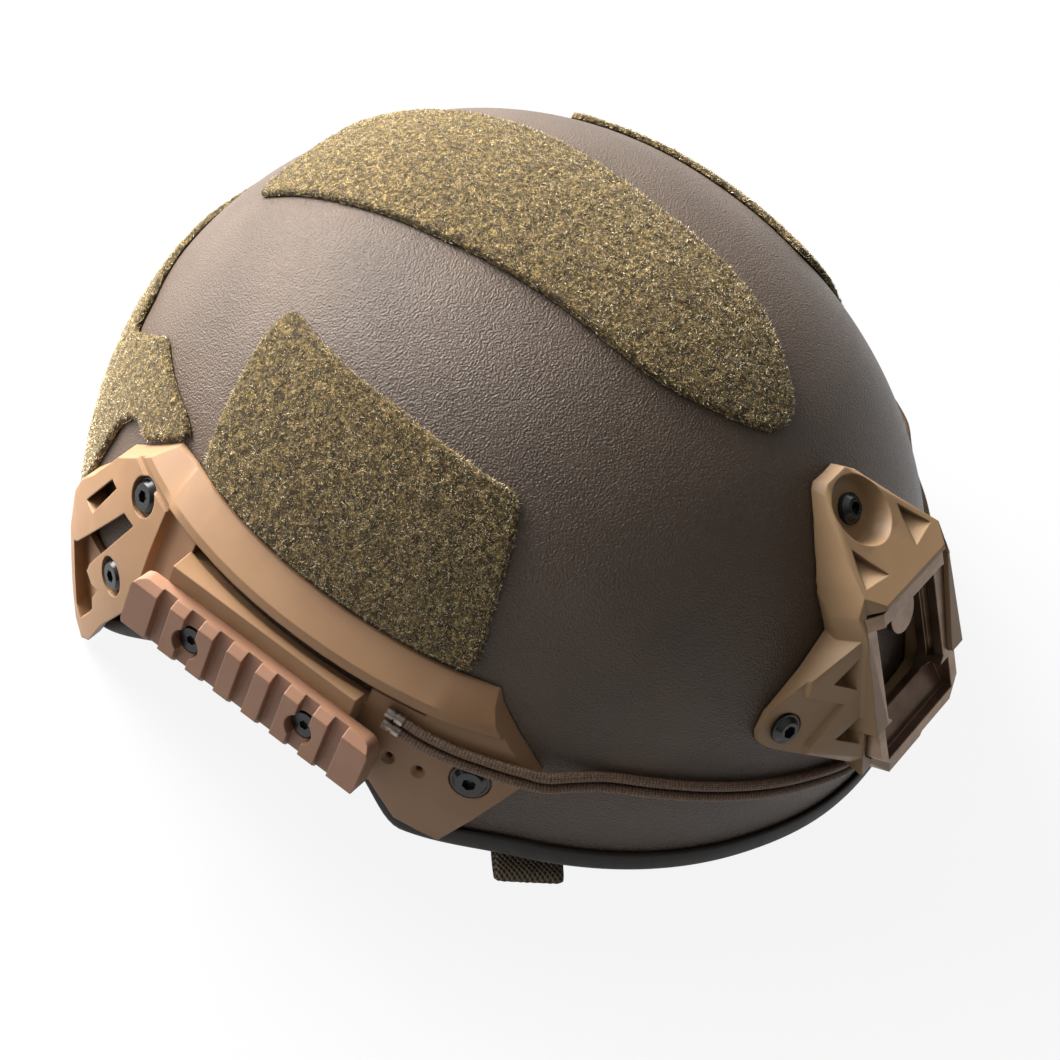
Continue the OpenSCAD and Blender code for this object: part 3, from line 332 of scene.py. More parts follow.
def moulded(name, low, high, roughness):
    """Moulded polymer: fine sand texture, rounded edges, colour that drifts slightly."""
    m = Nodes(name)
    m.colour(m.noise(0.018, 5.0), (0.3, low), (0.7, high))
    m.rough(m.noise(0.006, 3.0), roughness - 0.06, roughness + 0.08)
    m.bump(m.noise(0.0006), 0.00006, 0.5, m.soft_edges(0.0006))
    return m.material


def fabric(name, low, high, size, depth, roughness=0.9, sheen=0.35):
    """Brushed cloth or foam: fine fuzz, with colour that also drifts over a wider stretch."""
    m = Nodes(name, roughness)
    fine = m.noise(size, 3.0, 0.65, 0.4)
    m.colour(m.mix((fine, 0.8), (m.noise(size * 9), 0.2)), (0.34, low), (0.66, high))
    m.sheen(sheen, 0.4)
    m.bump(fine, depth, 0.9)
    return m.material


STRAW = (1.0, 0.86, 0.62, 1)


def loop_fabric():
    """Olive-brown loop pile, its colour from noise: painted shade at the dark end, between the loops, and
    painted highlight at the pale end, where a fibre catches light.
    """
    m = Nodes("loop_fabric", 0.85)
    fine = m.noise(0.0008, 3.0, 0.65, 0.6)
    tuft = m.noise(0.0020, 2.5, 0.6)
    # The ramp's darkest stop is painted shade between the loops, and its palest stop is painted highlight
    m.colour(m.mix((fine, 0.65), (tuft, 0.35)),
             (0.40, (0.014, 0.009, 0.003)), (0.52, (0.080, 0.053, 0.018)), (0.66, (0.38, 0.26, 0.09)))
    m.sheen(0.2, 0.35, STRAW)
    m.bump(fine, 0.0006, 0.9)
    return m.material


def pile_fibre():
    """Nylon fibres, each of a random tone of straw and a little glossy; the near-white tones are painted
    highlight.
    """
    m = Nodes("pile_fibre", 0.40)
    own = m.new("NewGeometry").outputs["Random Per Island"]
    # A random tone for each fibre; the two palest, near-white stops are painted highlight
    m.colour(own, (0.05, (0.060, 0.040, 0.012)), (0.42, (0.35, 0.245, 0.095)), (0.76, (0.88, 0.70, 0.36)),
             (1.0, (1.0, 0.96, 0.80)))
    m.sheen(0.6, 0.5, STRAW)
    return m.material


def weave(name, tan, dark, rib=WEB_RIB):
    """Woven webbing: slanted yarns of two colours, in the strap's own flat coordinates."""
    m = Nodes(name, 0.8)
    u, v = m.flat_uv()
    waves = 2 * math.pi / rib
    slant = m.math("SINE", m.math("MULTIPLY", m.math("ADD", u, v), waves))
    steeper = m.math("SUBTRACT", u, m.math("MULTIPLY", v, 0.6))
    cross = m.math("SINE", m.math("MULTIPLY", steeper, waves * 1.3))
    height = m.mix((slant, 0.35), (cross, 0.25), (m.noise(0.0006), 0.5))
    m.colour(m.math("ADD", height, 0.25, clamp=True), (0.30, dark), (0.62, tan))
    m.bump(height, 0.00035, 0.9)
    return m.material


def braid(name, low, mid, high):
    """A braided cord's cover, in the cord's own coordinates: u round it, v along it."""
    m = Nodes(name, 0.6)
    u, v = m.flat_uv()
    around = m.math("MULTIPLY", u, 2 * math.pi * BRAID_TURNS)
    along = m.math("MULTIPLY", v, 2 * math.pi / BRAID_LAY)
    one = m.math("SINE", m.math("ADD", around, along))
    two = m.math("SINE", m.math("SUBTRACT", around, along))
    mixed = m.mix((m.math("MULTIPLY", one, two), 0.16), (m.noise(0.0007, 3.0, 0.7), 0.8))
    m.colour(mixed, (0.22, low), (0.42, mid), (0.68, high))
    m.bump(mixed, 0.0002, 0.7)
    return m.material


def black_oxide():
    """Blackened steel of the screws."""
    m = Nodes("black_oxide")
    m.rough(m.noise(0.002, 4.0), 0.20, 0.36)
    m.colour(m.noise(0.0012, 3.0), (0.4, (0.005, 0.005, 0.005)), (0.8, (0.014, 0.013, 0.012)))
    m.bump(m.noise(0.0005), 0.00003, 0.5, m.soft_edges(0.0003))
    return m.material


def bronze():
    """The shroud's machined insert, coated in brown."""
    m = Nodes("bronze", metallic=0.85)
    m.colour(m.noise(0.008, 5.0), (0.3, (0.17, 0.112, 0.078)), (0.7, (0.27, 0.185, 0.13)))
    m.rough(m.noise(0.0015, 4.0), 0.28, 0.46)
    m.bump(m.noise(0.0004), 0.00002, 0.5, m.soft_edges(0.0005))
    return m.material


def crimped_metal():
    """The ferrules on the elastic cords."""
    m = Nodes("crimped_metal", metallic=0.9)
    m.colour(m.noise(0.0015, 4.0), (0.3, (0.20, 0.15, 0.12)), (0.7, (0.42, 0.36, 0.31)))
    m.rough(m.noise(0.0008, 3.0), 0.25, 0.5)
    m.bump(m.noise(0.0006, 3.0), 0.00006, 0.6)
    return m.material


def rubber():
    """The rim's edging."""
    m = Nodes("trim_rubber")
    m.colour(m.noise(0.01, 4.0), (0.3, (0.011, 0.009, 0.008)), (0.7, (0.022, 0.018, 0.015)))
    m.rough(m.noise(0.004, 3.0), 0.5, 0.7)
    m.shader.inputs["Specular IOR Level"].default_value = 0.3
    m.bump(m.noise(0.0007), 0.00005, 0.5)
    return m.material


PAINT = paint()
RUBBER = rubber()
RAIL = moulded("rail_polymer", (0.262, 0.142, 0.067), (0.300, 0.168, 0.082), 0.5)
SHROUD = moulded("shroud_polymer", (0.300, 0.182, 0.090), (0.345, 0.212, 0.110), 0.48)
ACCESSORY = moulded("accessory_polymer", (0.292, 0.148, 0.086), (0.340, 0.176, 0.106), 0.46)
BLACK = black_oxide()
BRONZE = bronze()
FERRULE = crimped_metal()
LOOP = loop_fabric()
PILE = pile_fibre()
CORD = braid("cord_braid", (0.045, 0.026, 0.015), (0.150, 0.088, 0.052), (0.34, 0.215, 0.135))
WEBBING = weave("webbing", (0.30, 0.22, 0.14), (0.020, 0.015, 0.011))
ELASTIC = weave("elastic", (0.055, 0.052, 0.048), (0.012, 0.012, 0.012), 0.0014)
PAD = fabric("pad_fabric", (0.022, 0.020, 0.018), (0.060, 0.055, 0.050), 0.0007, 0.0003)
FOAM = fabric("liner_foam", (0.012, 0.012, 0.012), (0.036, 0.035, 0.034), 0.0016, 0.0004, 0.8, 0.1)
CRADLE = moulded("cradle_polymer", (0.020, 0.020, 0.020), (0.034, 0.033, 0.032), 0.5)
BAND = moulded("band_polymer", (0.045, 0.044, 0.042), (0.062, 0.060, 0.057), 0.45)
BUCKLE = moulded("buckle_polymer", (0.016, 0.016, 0.015), (0.028, 0.027, 0.026), 0.42)
PINION = moulded("pinion_polymer", (0.42, 0.42, 0.40), (0.50, 0.50, 0.48), 0.4)


# Camera, light and floor. The studio is brighter behind the helmet and above it
CENTRE = (0, 0, 0.07)
BRIGHT_SIDE = (0.05, 0.82, 0.57)
WORLD_DIM, WORLD_BRIGHT = 0.04, 0.92
DIM_FROM, BRIGHT_FROM = -0.3, 1.0
FLOOR_HALF = 6.0
FLOOR_GREY = (0.16, 0.16, 0.16, 1)
FLOOR_GLOW = 1.12
SHADOW_SHARE = 0.20


def make_camera():
    data = bpy.data.cameras.new("camera")
    data.sensor_width = SENSOR
    data.lens = FOCAL_PX / FRAME_PX * SENSOR
    data.clip_start = 0.01
    made = bpy.data.objects.new("camera", data)
    bpy.context.scene.collection.objects.link(made)
    right, down = turn(np.array([VIEW_RIGHT, VIEW_DOWN]))
    right, down = unit(right), unit(down)
    back = -np.cross(right, down)
    spin = Matrix([[right[i], -down[i], back[i]] for i in range(3)])
    made.matrix_world = Matrix.Translation(Vector(place(np.array(EYE)))) @ spin.to_4x4()
    bpy.context.scene.camera = made


def make_lamp(name, spot, size, power):
    """A round lamp that faces the helmet."""
    data = bpy.data.lights.new(name, "AREA")
    data.shape = "DISK"
    data.size = size
    data.energy = power
    made = bpy.data.objects.new(name, data)
    bpy.context.scene.collection.objects.link(made)
    made.location = spot
    made.rotation_euler = (Vector(CENTRE) - Vector(spot)).to_track_quat("-Z", "Y").to_euler()
    return made


def make_floor():
    """A grey floor that looks white to the camera and in reflections, and keeps a part of its shadows."""
    low, high = -FLOOR_HALF, FLOOR_HALF
    floor = link("floor", [(low, low, 0), (high, low, 0), (high, high, 0), (low, high, 0)], [(0, 1, 2, 3)])
    m = Nodes("floor_white", 0.9)
    m.shader.inputs["Base Color"].default_value = FLOOR_GREY
    grey = m.shader.outputs[0]
    glow = m.new("Emission", Strength=FLOOR_GLOW)
    seen = m.new("MixShader")
    seen.inputs[0].default_value = SHADOW_SHARE
    m.join(glow.outputs[0], seen.inputs[1])
    m.join(grey, seen.inputs[2])
    path = m.new("LightPath")
    straight = m.math("MAXIMUM", path.outputs["Is Camera Ray"], path.outputs["Is Glossy Ray"])
    pick = m.new("MixShader")
    m.join(straight, pick.inputs[0])
    m.join(grey, pick.inputs[1])
    m.join(seen.outputs[0], pick.inputs[2])
    m.join(pick.outputs[0], m.tree.nodes["Material Output"].inputs["Surface"])
    floor.data.materials.append(m.material)


def make_world():
    """White to the camera, and on the helmet brighter from one side."""
    world = bpy.data.worlds.new("studio")
    bpy.context.scene.world = world
    world.use_nodes = True
    tree = world.node_tree
    plain = tree.nodes["Background"]
    plain.inputs["Color"].default_value = (1, 1, 1, 1)
    sky = tree.nodes.new("ShaderNodeTexCoord")
    towards = tree.nodes.new("ShaderNodeVectorMath")
    towards.operation = "DOT_PRODUCT"
    towards.inputs[1].default_value = BRIGHT_SIDE
    tree.links.new(sky.outputs["Generated"], towards.inputs[0])
    fall = tree.nodes.new("ShaderNodeMapRange")
    fall.interpolation_type = "SMOOTHSTEP"
    fall.inputs["From Min"].default_value = DIM_FROM
    fall.inputs["From Max"].default_value = BRIGHT_FROM
    fall.inputs["To Min"].default_value = WORLD_DIM
    fall.inputs["To Max"].default_value = WORLD_BRIGHT
    tree.links.new(towards.outputs["Value"], fall.inputs["Value"])
    tree.links.new(fall.outputs[0], plain.inputs["Strength"])
    white = tree.nodes.new("ShaderNodeBackground")
    white.inputs["Strength"].default_value = 1.0
    mix = tree.nodes.new("ShaderNodeMixShader")
    light = tree.nodes.new("ShaderNodeLightPath")
    tree.links.new(light.outputs["Is Camera Ray"], mix.inputs[0])
    tree.links.new(plain.outputs[0], mix.inputs[1])
    tree.links.new(white.outputs[0], mix.inputs[2])
    tree.links.new(mix.outputs[0], tree.nodes["World Output"].inputs["Surface"])


bpy.context.scene.view_settings.view_transform = "Standard"
make_camera()
make_floor()
make_world()
make_lamp("key", (0.02, 1.35, 1.10), 1.3, 62)
make_lamp("fill", (-1.2, -0.9, 0.8), 1.2, 0.35)
make_lamp("rim", (1.0, 0.6, 0.7), 0.8, 4)
make_lamp("back", (0.45, 1.40, 0.98), 0.9, 105).visible_glossy = False


# Lines through chosen points
SPAN_POINTS = 24


def smooth_line(points, step):
    """A smooth line through points, with a point every step. Extra columns are carried along."""
    p = np.asarray(points, float)
    p = np.concatenate([[2 * p[0] - p[1]], p, [2 * p[-1] - p[-2]]])
    fine = []
    for a, b, c, d in zip(p[:-3], p[1:-2], p[2:-1], p[3:]):
        t = np.linspace(0, 1, SPAN_POINTS, endpoint=False)[:, None]
        fine.append(0.5 * (2 * b + (c - a) * t + (2 * a - 5 * b + 4 * c - d) * t**2
                           + (3 * b - a - 3 * c + d) * t**3))
    fine = np.concatenate([*fine, [p[-2]]])
    run = np.concatenate([[0], np.cumsum(np.linalg.norm(np.diff(fine[:, :3], axis=0), axis=1))])
    s = np.linspace(0, run[-1], max(3, int(run[-1] / step) + 1))
    return np.stack([np.interp(s, run, fine[:, k]) for k in range(fine.shape[1])], 1), s


def flat_coordinates(piece, u, v):
    """Stores each vertex's own flat coordinates as the UV map that the woven materials read."""
    layer = piece.data.uv_layers.new(name=FLAT_MAP)
    corner = np.empty(len(piece.data.loops), np.int32)
    piece.data.loops.foreach_get("vertex_index", corner)
    layer.data.foreach_set("uv", np.stack([u[corner], v[corner]], 1).astype(np.float32).ravel())


# The elastic cords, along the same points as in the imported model: azimuth, height, stand-off
CORD_LOW = CORD_D / 2 + CLEAR
CORD_HIGH = PLATE_T + CORD_LOW
CORD_ROUTE = [
    (69, 0.0595, CORD_HIGH), (66, 0.0585, CORD_HIGH), (62, 0.0580, CORD_HIGH), (58, 0.0580, CORD_HIGH),
    (54, 0.0580, CORD_HIGH), (50, 0.0576, CORD_HIGH - 0.0005), (46, 0.0572, 0.0036),
    (42, 0.0565, CORD_LOW), (36, 0.0555, CORD_LOW), (30, 0.0535, CORD_LOW), (24, 0.0510, CORD_LOW),
    (18, 0.0480, CORD_LOW), (12, 0.0445, CORD_LOW), (8, 0.0415, CORD_LOW), (4.9, 0.0395, CORD_LOW)]
CORD_GAP = CORD_D + 0.0007
CORD_SIDES = 24
CORD_STEP = 0.0004
BRAID_RISE = 0.00005


def cord_path(drop, mirror):
    """One cord's route, some way under the upper cord's."""
    return place(np.array([dome(az, z - drop, h) for az, z, h in CORD_ROUTE])) * mirror


def make_cords(mirror, word):
    """The two cords of one side: braided tubes with closed ends."""
    points, quads, tris, us, vs = [], [], [], [], []
    base = 0
    k = np.arange(CORD_SIDES)
    for drop in (0, CORD_GAP):
        line, s = smooth_line(cord_path(drop, mirror), CORD_STEP)
        ahead = unit(np.gradient(line, axis=0))
        out = unit(np.cross(ahead, [0, 0, 1]))
        up = np.cross(out, ahead)
        a = np.linspace(0, 2 * math.pi, CORD_SIDES, endpoint=False)[None, :]
        lay = s[:, None] * 2 * math.pi / BRAID_LAY
        strands = np.sin(BRAID_TURNS * a + lay) * np.sin(BRAID_TURNS * a - lay)
        r = CORD_D / 2 - BRAID_RISE + BRAID_RISE * strands
        rise, spread = (r * np.cos(a))[..., None], (r * np.sin(a))[..., None]
        ring = line[:, None] + rise * up[:, None] + spread * out[:, None]
        rows = len(line)
        start = base
        points.append(ring.reshape(-1, 3))
        quads.append(grid_quads(rows, CORD_SIDES, wrap_cols=True, base=start))
        us.append(np.broadcast_to(a / (2 * math.pi), (rows, CORD_SIDES)).ravel())
        vs.append(np.repeat(s, CORD_SIDES))
        base += rows * CORD_SIDES
        for row, way in ((0, -1), (rows - 1, 1)):
            points.append(line[row][None])
            us.append([0])
            vs.append([s[row]])
            tris.append(fan(start + row * CORD_SIDES + k, base)[:, ::way])
            base += 1
    made = link(f"braided_cords_{word}", np.concatenate(points), np.concatenate(quads), np.concatenate(tris))
    flat_coordinates(made, np.concatenate(us), np.concatenate(vs))
    wear(made, "helmet", "cord", CORD, f"cords_{word}")


for mirror, word in BOTH_SIDES:
    make_cords(mirror, word)


# The shell and what lies on it
POLE_GAP = 0.35
EDGE_DROP = 0.3
EDGE_ROWS = 5


def make_cup(name, h_out, h_in, lift_rim, cols, rows):
    """A dome between two offsets, with a rounded rim. Its last ring lies close to the pole."""
    az = np.linspace(0, 360, cols, endpoint=False)
    z0 = rim_z(az) + lift_rim
    t = np.sin(np.pi / 2 * np.arange(rows) / (rows - 1 + POLE_GAP)) ** (2 / DOME_E)

    def side(h):
        z = z0[None] + (CROWN_H + h - z0[None]) * t[:, None]
        return dome(az[None], z, h)

    outer, inner = side(h_out), side(h_in)
    turns = np.linspace(0, math.pi, EDGE_ROWS + 2)[1:-1]
    half = (h_out - h_in) / 2
    edge = np.stack([
        dome(az, z0 - EDGE_DROP * half * math.sin(a), h_in + half + half * math.cos(a)) for a in turns])
    rings = np.concatenate([outer[::-1], edge, inner])
    top = np.array([[0, 0, CROWN_H + h_out], [0, 0, CROWN_H + h_in]])
    n = rings.shape[0]
    points = np.concatenate([rings.reshape(-1, 3), top])
    k = np.arange(cols)
    quads = grid_quads(n, cols, wrap_cols=True)
    tris = np.concatenate([fan(k, n * cols), fan(k + (n - 1) * cols, n * cols + 1)[:, [1, 0, 2]]])
    return link(name, place(points), quads[:, ::-1], tris)


wear(make_cup("painted_shell", 0, -WALL, 0, 360, 90), "helmet", "shell", PAINT, "shell")
wear(make_cup("liner", LINER_OUT, LINER_IN, LINER_LIFT, 240, 60), "helmet", "foam", FOAM, "impact_liner")


def make_trim():
    """The rubber edging: a U round the rim with soft lips, by heights over the rim and stand-offs."""
    az = np.linspace(0, 360, TRIM_COLS, endpoint=False)
    outer, inner = TRIM_T, -WALL - TRIM_T
    lip = TRIM_H
    section = [(lip - 0.0010, CLEAR), (lip - 0.0002, CLEAR + 0.0002), (lip, 0.0008),
               (lip - 0.0002, outer - 0.0003), (lip - 0.0010, outer),
               (0.0030, outer + 0.0001), (0.0005, outer + 0.0001),
               (-0.0006, outer - 0.0002), (-0.0013, outer - 0.0010), (-TRIM_T, outer - 0.0022),
               (-TRIM_T, inner + 0.0022), (-0.0013, inner + 0.0010), (-0.0006, inner + 0.0002),
               (0.0005, inner - 0.0001), (0.0030, inner - 0.0001), (lip - 0.0010, inner),
               (lip - 0.0002, inner + 0.0003), (lip, -WALL - 0.0008), (lip - 0.0002, -WALL - CLEAR - 0.0002),
               (lip - 0.0010, -WALL - CLEAR), (0.0002, -WALL - CLEAR), (-CLEAR, -WALL), (-CLEAR, 0),
               (0.0002, CLEAR)]
    rings = np.stack([dome(az, rim_z(az) + up, h) for up, h in section], 1)
    quads = grid_quads(TRIM_COLS, len(section), wrap_rows=True, wrap_cols=True)
    return link("rubber_trim", place(rings.reshape(-1, 3)), quads[:, ::-1])


wear(make_trim(), "helmet", "trim", RUBBER, "edge_trim")


# Loop patches: an outline in a flat plane, and how that plane lies on the dome
def rounded(corners, radius, steps=8):
    """A polygon with each corner rounded by an arc-like curve."""
    c = np.asarray(corners, float)
    out = []
    for a, b, d in zip(np.roll(c, 1, 0), c, np.roll(c, -1, 0)):
        back, ahead = np.linalg.norm(a - b), np.linalg.norm(d - b)
        r = min(radius, 0.45 * back, 0.45 * ahead)
        p, q = b + (a - b) / back * r, b + (d - b) / ahead * r
        t = np.linspace(0, 1, steps)[:, None]
        out.append((1 - t) ** 2 * p + 2 * t * (1 - t) * b + t**2 * q)
    return np.concatenate(out)


def distance_to(outline, p):
    """The signed distance of points to a closed outline, positive outside, and the nearest points."""
    a, b = outline, np.roll(outline, -1, 0)
    best = np.full(len(p), 1e9)
    near = np.zeros_like(p)
    inside = np.zeros(len(p), bool)
    for s, e in zip(a, b):
        d = e - s
        length = d @ d
        if length < 1e-14:
            continue
        t = np.clip(((p - s) @ d) / length, 0, 1)
        q = s + t[:, None] * d
        gap = np.linalg.norm(p - q, axis=1)
        closer = gap < best
        best[closer] = gap[closer]
        near[closer] = q[closer]
        crosses = (s[1] > p[:, 1]) != (e[1] > p[:, 1])
        with np.errstate(divide="ignore", invalid="ignore"):
            x = s[0] + (p[:, 1] - s[1]) * d[0] / d[1]
        inside ^= crosses & (p[:, 0] < x)
    return np.where(inside, -best, best), near


def lumps(points, size, seed):
    """Smooth noise from -1 to 1 at points, one value each."""
    shift = Vector((seed * 3.1, seed * 1.7, seed * 0.9))
    scale = 1 / size
    return np.array([noise.noise(Vector(p) * scale + shift) for p in points])


PATCH_STEP = 0.00065
SNAP = 0.75 * PATCH_STEP
EDGE_ROLL = 0.0014
PILE_FOOT, PILE_RISE = 0.30, 0.66
# The pile's lumps: their height, their size and the seed of their noise
PILE_LUMPS = [(0.00030, 0.0016, 1), (0.00022, 0.0042, 2)]
# Fibres for each square metre, and the most that a patch has
FIBRE_DENSITY, MOST_FIBRES = 5.0e6, 48000
FIBRE_LENGTH, FIBRE_LEAN, FIBRE_R = (0.0009, 0.0020), (0.35, 0.80), (0.00009, 0.00015)
FIBRE_SUNK, FIBRE_LIFT = 0.0003, 0.42
FIBRE_SIDES = [math.radians(a) for a in (0, 120, 240)]
FIBRE_FACES = np.array([[2, 1, 0], [0, 1, 3], [1, 2, 3], [2, 0, 3]])


def patch_grid(outline):
    """The points and faces of a fine grid in an outline, and how far inside it each point lies."""
    low, high = outline.min(0) - PATCH_STEP, outline.max(0) + PATCH_STEP
    us, vs = np.arange(low[0], high[0], PATCH_STEP), np.arange(low[1], high[1], PATCH_STEP)
    flat = np.stack(np.meshgrid(us, vs, indexing="ij"), -1)
    rows, cols = flat.shape[:2]
    flat = flat.reshape(-1, 2)
    gap, near = distance_to(outline, flat)
    snap = (gap > 0) & (gap < SNAP)
    flat[snap] = near[snap]
    quads = grid_quads(rows, cols)
    quads = quads[(gap < SNAP)[quads].all(1)]
    used, quads = np.unique(quads, return_inverse=True)
    return flat[used], quads.reshape(-1, 4), -np.minimum(gap[used], 0)


def make_patch(name, node, outline, on_dome, mirror=SAME):
    """The backing with its lumpy pile, and the fibres that stand out of it."""
    flat, quads, depth = patch_grid(outline)
    profile = np.sqrt(1 - (1 - np.clip(depth / EDGE_ROLL, 0, 1)) ** 2)
    surface = on_dome(flat)
    normal = outward(surface)
    bumps = sum(rise * lumps(surface, size, seed) for rise, size, seed in PILE_LUMPS)
    height = CLEAR + LOOP_T * (PILE_FOOT + PILE_RISE * profile) + bumps * profile
    top = surface + normal * height[:, None]
    back = surface + normal * CLEAR
    n = len(flat)
    edges = np.concatenate([quads[:, [i, (i + 1) % 4]] for i in range(4)])
    _, first, counts = np.unique(np.sort(edges, 1), axis=0, return_index=True, return_counts=True)
    rim = edges[first[counts == 1]]
    walls = np.stack([rim[:, 1], rim[:, 0], rim[:, 0] + n, rim[:, 1] + n], 1)
    faces = np.concatenate([quads, quads[:, ::-1] + n, walls])
    sheet = link(name, place(np.concatenate([top, back])) * mirror, faces[:, ::mirror[0]])
    wear(sheet, "helmet", "loop", LOOP, node)
    make_fibres(name + "_fibres", top, normal, len(quads), mirror)


def make_fibres(name, top, normal, cells, mirror):
    """Fibres that lean every way out of the pile over a number of grid cells, each a slender spike."""
    count = min(MOST_FIBRES, int(FIBRE_DENSITY * cells * PATCH_STEP**2))
    pick = rng.integers(0, len(top), count)
    normal = normal[pick]
    root = top[pick] - normal * FIBRE_SUNK
    heading = unit(np.cross(normal, rng.normal(size=(count, 3))))
    length = rng.uniform(*FIBRE_LENGTH, count)[:, None]
    lean = rng.uniform(*FIBRE_LEAN, count)[:, None]
    radius = rng.uniform(*FIBRE_R, count)[:, None]
    across = unit(np.cross(normal, heading))
    tip = root + length * (lean * heading + FIBRE_LIFT * normal)
    ring = [root + radius * (math.cos(a) * normal + math.sin(a) * across) for a in FIBRE_SIDES]
    body = np.stack([*ring, tip], 1).reshape(-1, 3)
    tris = (np.arange(count)[:, None, None] * 4 + FIBRE_FACES[None]).reshape(-1, 3)
    pile = link(name, place(body) * mirror, tris=tris[:, ::mirror[0]], smooth=False)
    wear(pile, "helmet", "loop", PILE)


# The crown strip: how far each station lies behind the middle, and half of the strip's width there
STRIP = [
    (0.0925, 0.0250), (0.085, 0.0262), (0.060, 0.0287), (0.030, 0.0289), (0.008, 0.0272),
    (-0.010, 0.0260), (-0.027, 0.0256), (-0.041, 0.0240), (-0.050, 0.0208), (-0.0575, 0.0168),
    (-0.065, 0.0122), (-0.0715, 0.0065)]
STRIP_NOSE = -0.0735
STRIP_SHIFT = -0.003
STRIP_CORNER = 0.005


def crown_outline():
    right = [(STRIP_SHIFT + half, y) for y, half in STRIP]
    left = [(STRIP_SHIFT - half, y) for y, half in STRIP[::-1]]
    return rounded([*right, (STRIP_SHIFT, STRIP_NOSE), *left], STRIP_CORNER)


def on_crown(flat):
    return top_point(flat[:, 0], flat[:, 1], 0)


# The way up the side at mid-length: its heights, and how far it has run at each
MERIDIAN_Z = np.linspace(0.06, 0.1385, 400)
MERIDIAN = side_point(np.zeros_like(MERIDIAN_Z), MERIDIAN_Z, 0)
MERIDIAN_RUN = np.concatenate([[0], np.cumsum(np.linalg.norm(np.diff(MERIDIAN, axis=0), axis=1))])

# The side patches, over the rails' upper edge: how far behind the middle, and how high
SIDE_FOOT = RAIL_TOP + 0.0008
SIDE_PATCH = [
    (0.0490, 0.1120), (0.029, 0.1140), (0.005, 0.1156), (-0.0135, 0.1148), (-0.0355, 0.1132),
    (-0.0405, 0.1060), (-0.0436, 0.0994), (-0.0498, 0.0800), (-0.0503, SIDE_FOOT), (-0.025, SIDE_FOOT),
    (0.0, SIDE_FOOT), (0.025, SIDE_FOOT), (0.0447, SIDE_FOOT), (0.0473, 0.0844), (0.0495, 0.0949),
    (0.0508, 0.1040)]
SIDE_CORNER = 0.0045


def side_outline():
    return rounded([(y, np.interp(z, MERIDIAN_Z, MERIDIAN_RUN)) for y, z in SIDE_PATCH], SIDE_CORNER)


def on_side(flat):
    return side_point(flat[:, 0], np.interp(flat[:, 1], MERIDIAN_RUN, MERIDIAN_Z), 0)


# The rear patch's columns: azimuth, lower edge, upper edge
WING = [
    (120.5, 0.0740, 0.0755), (122, 0.0705, 0.0765), (124, 0.0660, 0.0770), (126.5, 0.0605, 0.0770),
    (129, 0.0590, 0.0770), (131.5, 0.0590, 0.0770), (133, 0.0550, 0.0770), (134.5, 0.0500, 0.0770),
    (135.5, 0.0360, 0.0770), (137, 0.0220, 0.0770), (139, 0.0110, 0.0770), (141, 0.0030, 0.0740),
    (144, 0, 0.0670), (149, 0, 0.0575), (151, 0, 0.0600), (153, 0, 0.0640), (158, 0, 0.0645),
    (164, 0, 0.0650), (169, 0, 0.0650), (174.5, 0, 0.0650), (180, 0, 0.0650)]
REAR_R_MEAN = 0.122
REAR_CORNER = 0.002


def rear_outline():
    columns = WING + [(360 - az, low, high) for az, low, high in WING[-2::-1]]
    foot = [(math.radians(az) * REAR_R_MEAN, low) for az, low, high in columns]
    head = [(math.radians(az) * REAR_R_MEAN, high) for az, low, high in columns[::-1]]
    return rounded(foot + head, REAR_CORNER, 4)


def on_rear(flat):
    return dome(np.degrees(flat[:, 0] / REAR_R_MEAN), flat[:, 1], 0)


make_patch("loop_pile_crown", "loop_crown", crown_outline(), on_crown)
make_patch("loop_pile_side_left", "loop_side_left", side_outline(), on_side)
make_patch("loop_pile_side_right", "loop_side_right", side_outline(), on_side, MIRROR)
make_patch("loop_pile_rear", "loop_rear", rear_outline(), on_rear)


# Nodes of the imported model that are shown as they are, with finer edges and their own finish
SHARP = math.radians(32)


def crisp(part):
    """Smooth faces that meet in sharp edges."""
    part.data.shade_smooth()
    weld = part.modifiers.new("weld", "WELD")
    weld.merge_threshold = MERGE
    split = part.modifiers.new("split", "EDGE_SPLIT")
    split.split_angle = SHARP


def dress(surface, slot_name, *nodes):
    """Gives nodes that are shown as they are their material."""
    for name in nodes:
        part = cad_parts[name]
        part.data.materials.clear()
        part.data.materials.append(surface)
        crisp(part)


# The long slot between a side rail's ridge and its lower bar: how far it runs, and its profile, as
# heights and stand-offs, from the shell's side up over the bar's edge
SLOT_RUN, SLOT_STATIONS = (-0.0315, 0.0345), 23
SLOT_FOOT, BAR_TOP, SLOT_TOP = RAIL_TOP - 0.0170, RAIL_TOP - 0.0124, RAIL_TOP - 0.0087
SLOT_FLOOR, SLOT_WALL, SLOT_MOUTH = -0.001, 0.0062, 0.020
SLOT_PROFILE = [(SLOT_FOOT, SLOT_FLOOR), (SLOT_TOP, SLOT_FLOOR), (SLOT_TOP, SLOT_MOUTH),
                (BAR_TOP, SLOT_MOUTH), (BAR_TOP, SLOT_WALL), (SLOT_FOOT, SLOT_WALL)]
# The profile's face, as two faces of its corners
SLOT_CAP = np.array([[5, 4, 1, 0], [4, 3, 2, 1]])


def slot_tool(mirror):
    """The closed solid that cuts the slot, on one side of the helmet."""
    ys = np.linspace(*SLOT_RUN, SLOT_STATIONS)
    points = np.array([[side_point(np.array(y), np.array(z), out) for z, out in SLOT_PROFILE] for y in ys])
    rows, cols = points.shape[:2]
    last = (rows - 1) * cols
    quads = np.concatenate([grid_quads(rows, cols, wrap_cols=True), SLOT_CAP, SLOT_CAP[:, ::-1] + last])
    tool = link("slot_tool", place(points.reshape(-1, 3)) * mirror, quads, smooth=False)
    clean = bmesh.new()
    clean.from_mesh(tool.data)
    bmesh.ops.recalc_face_normals(clean, faces=clean.faces)
    clean.to_mesh(tool.data)
    clean.free()
    return tool


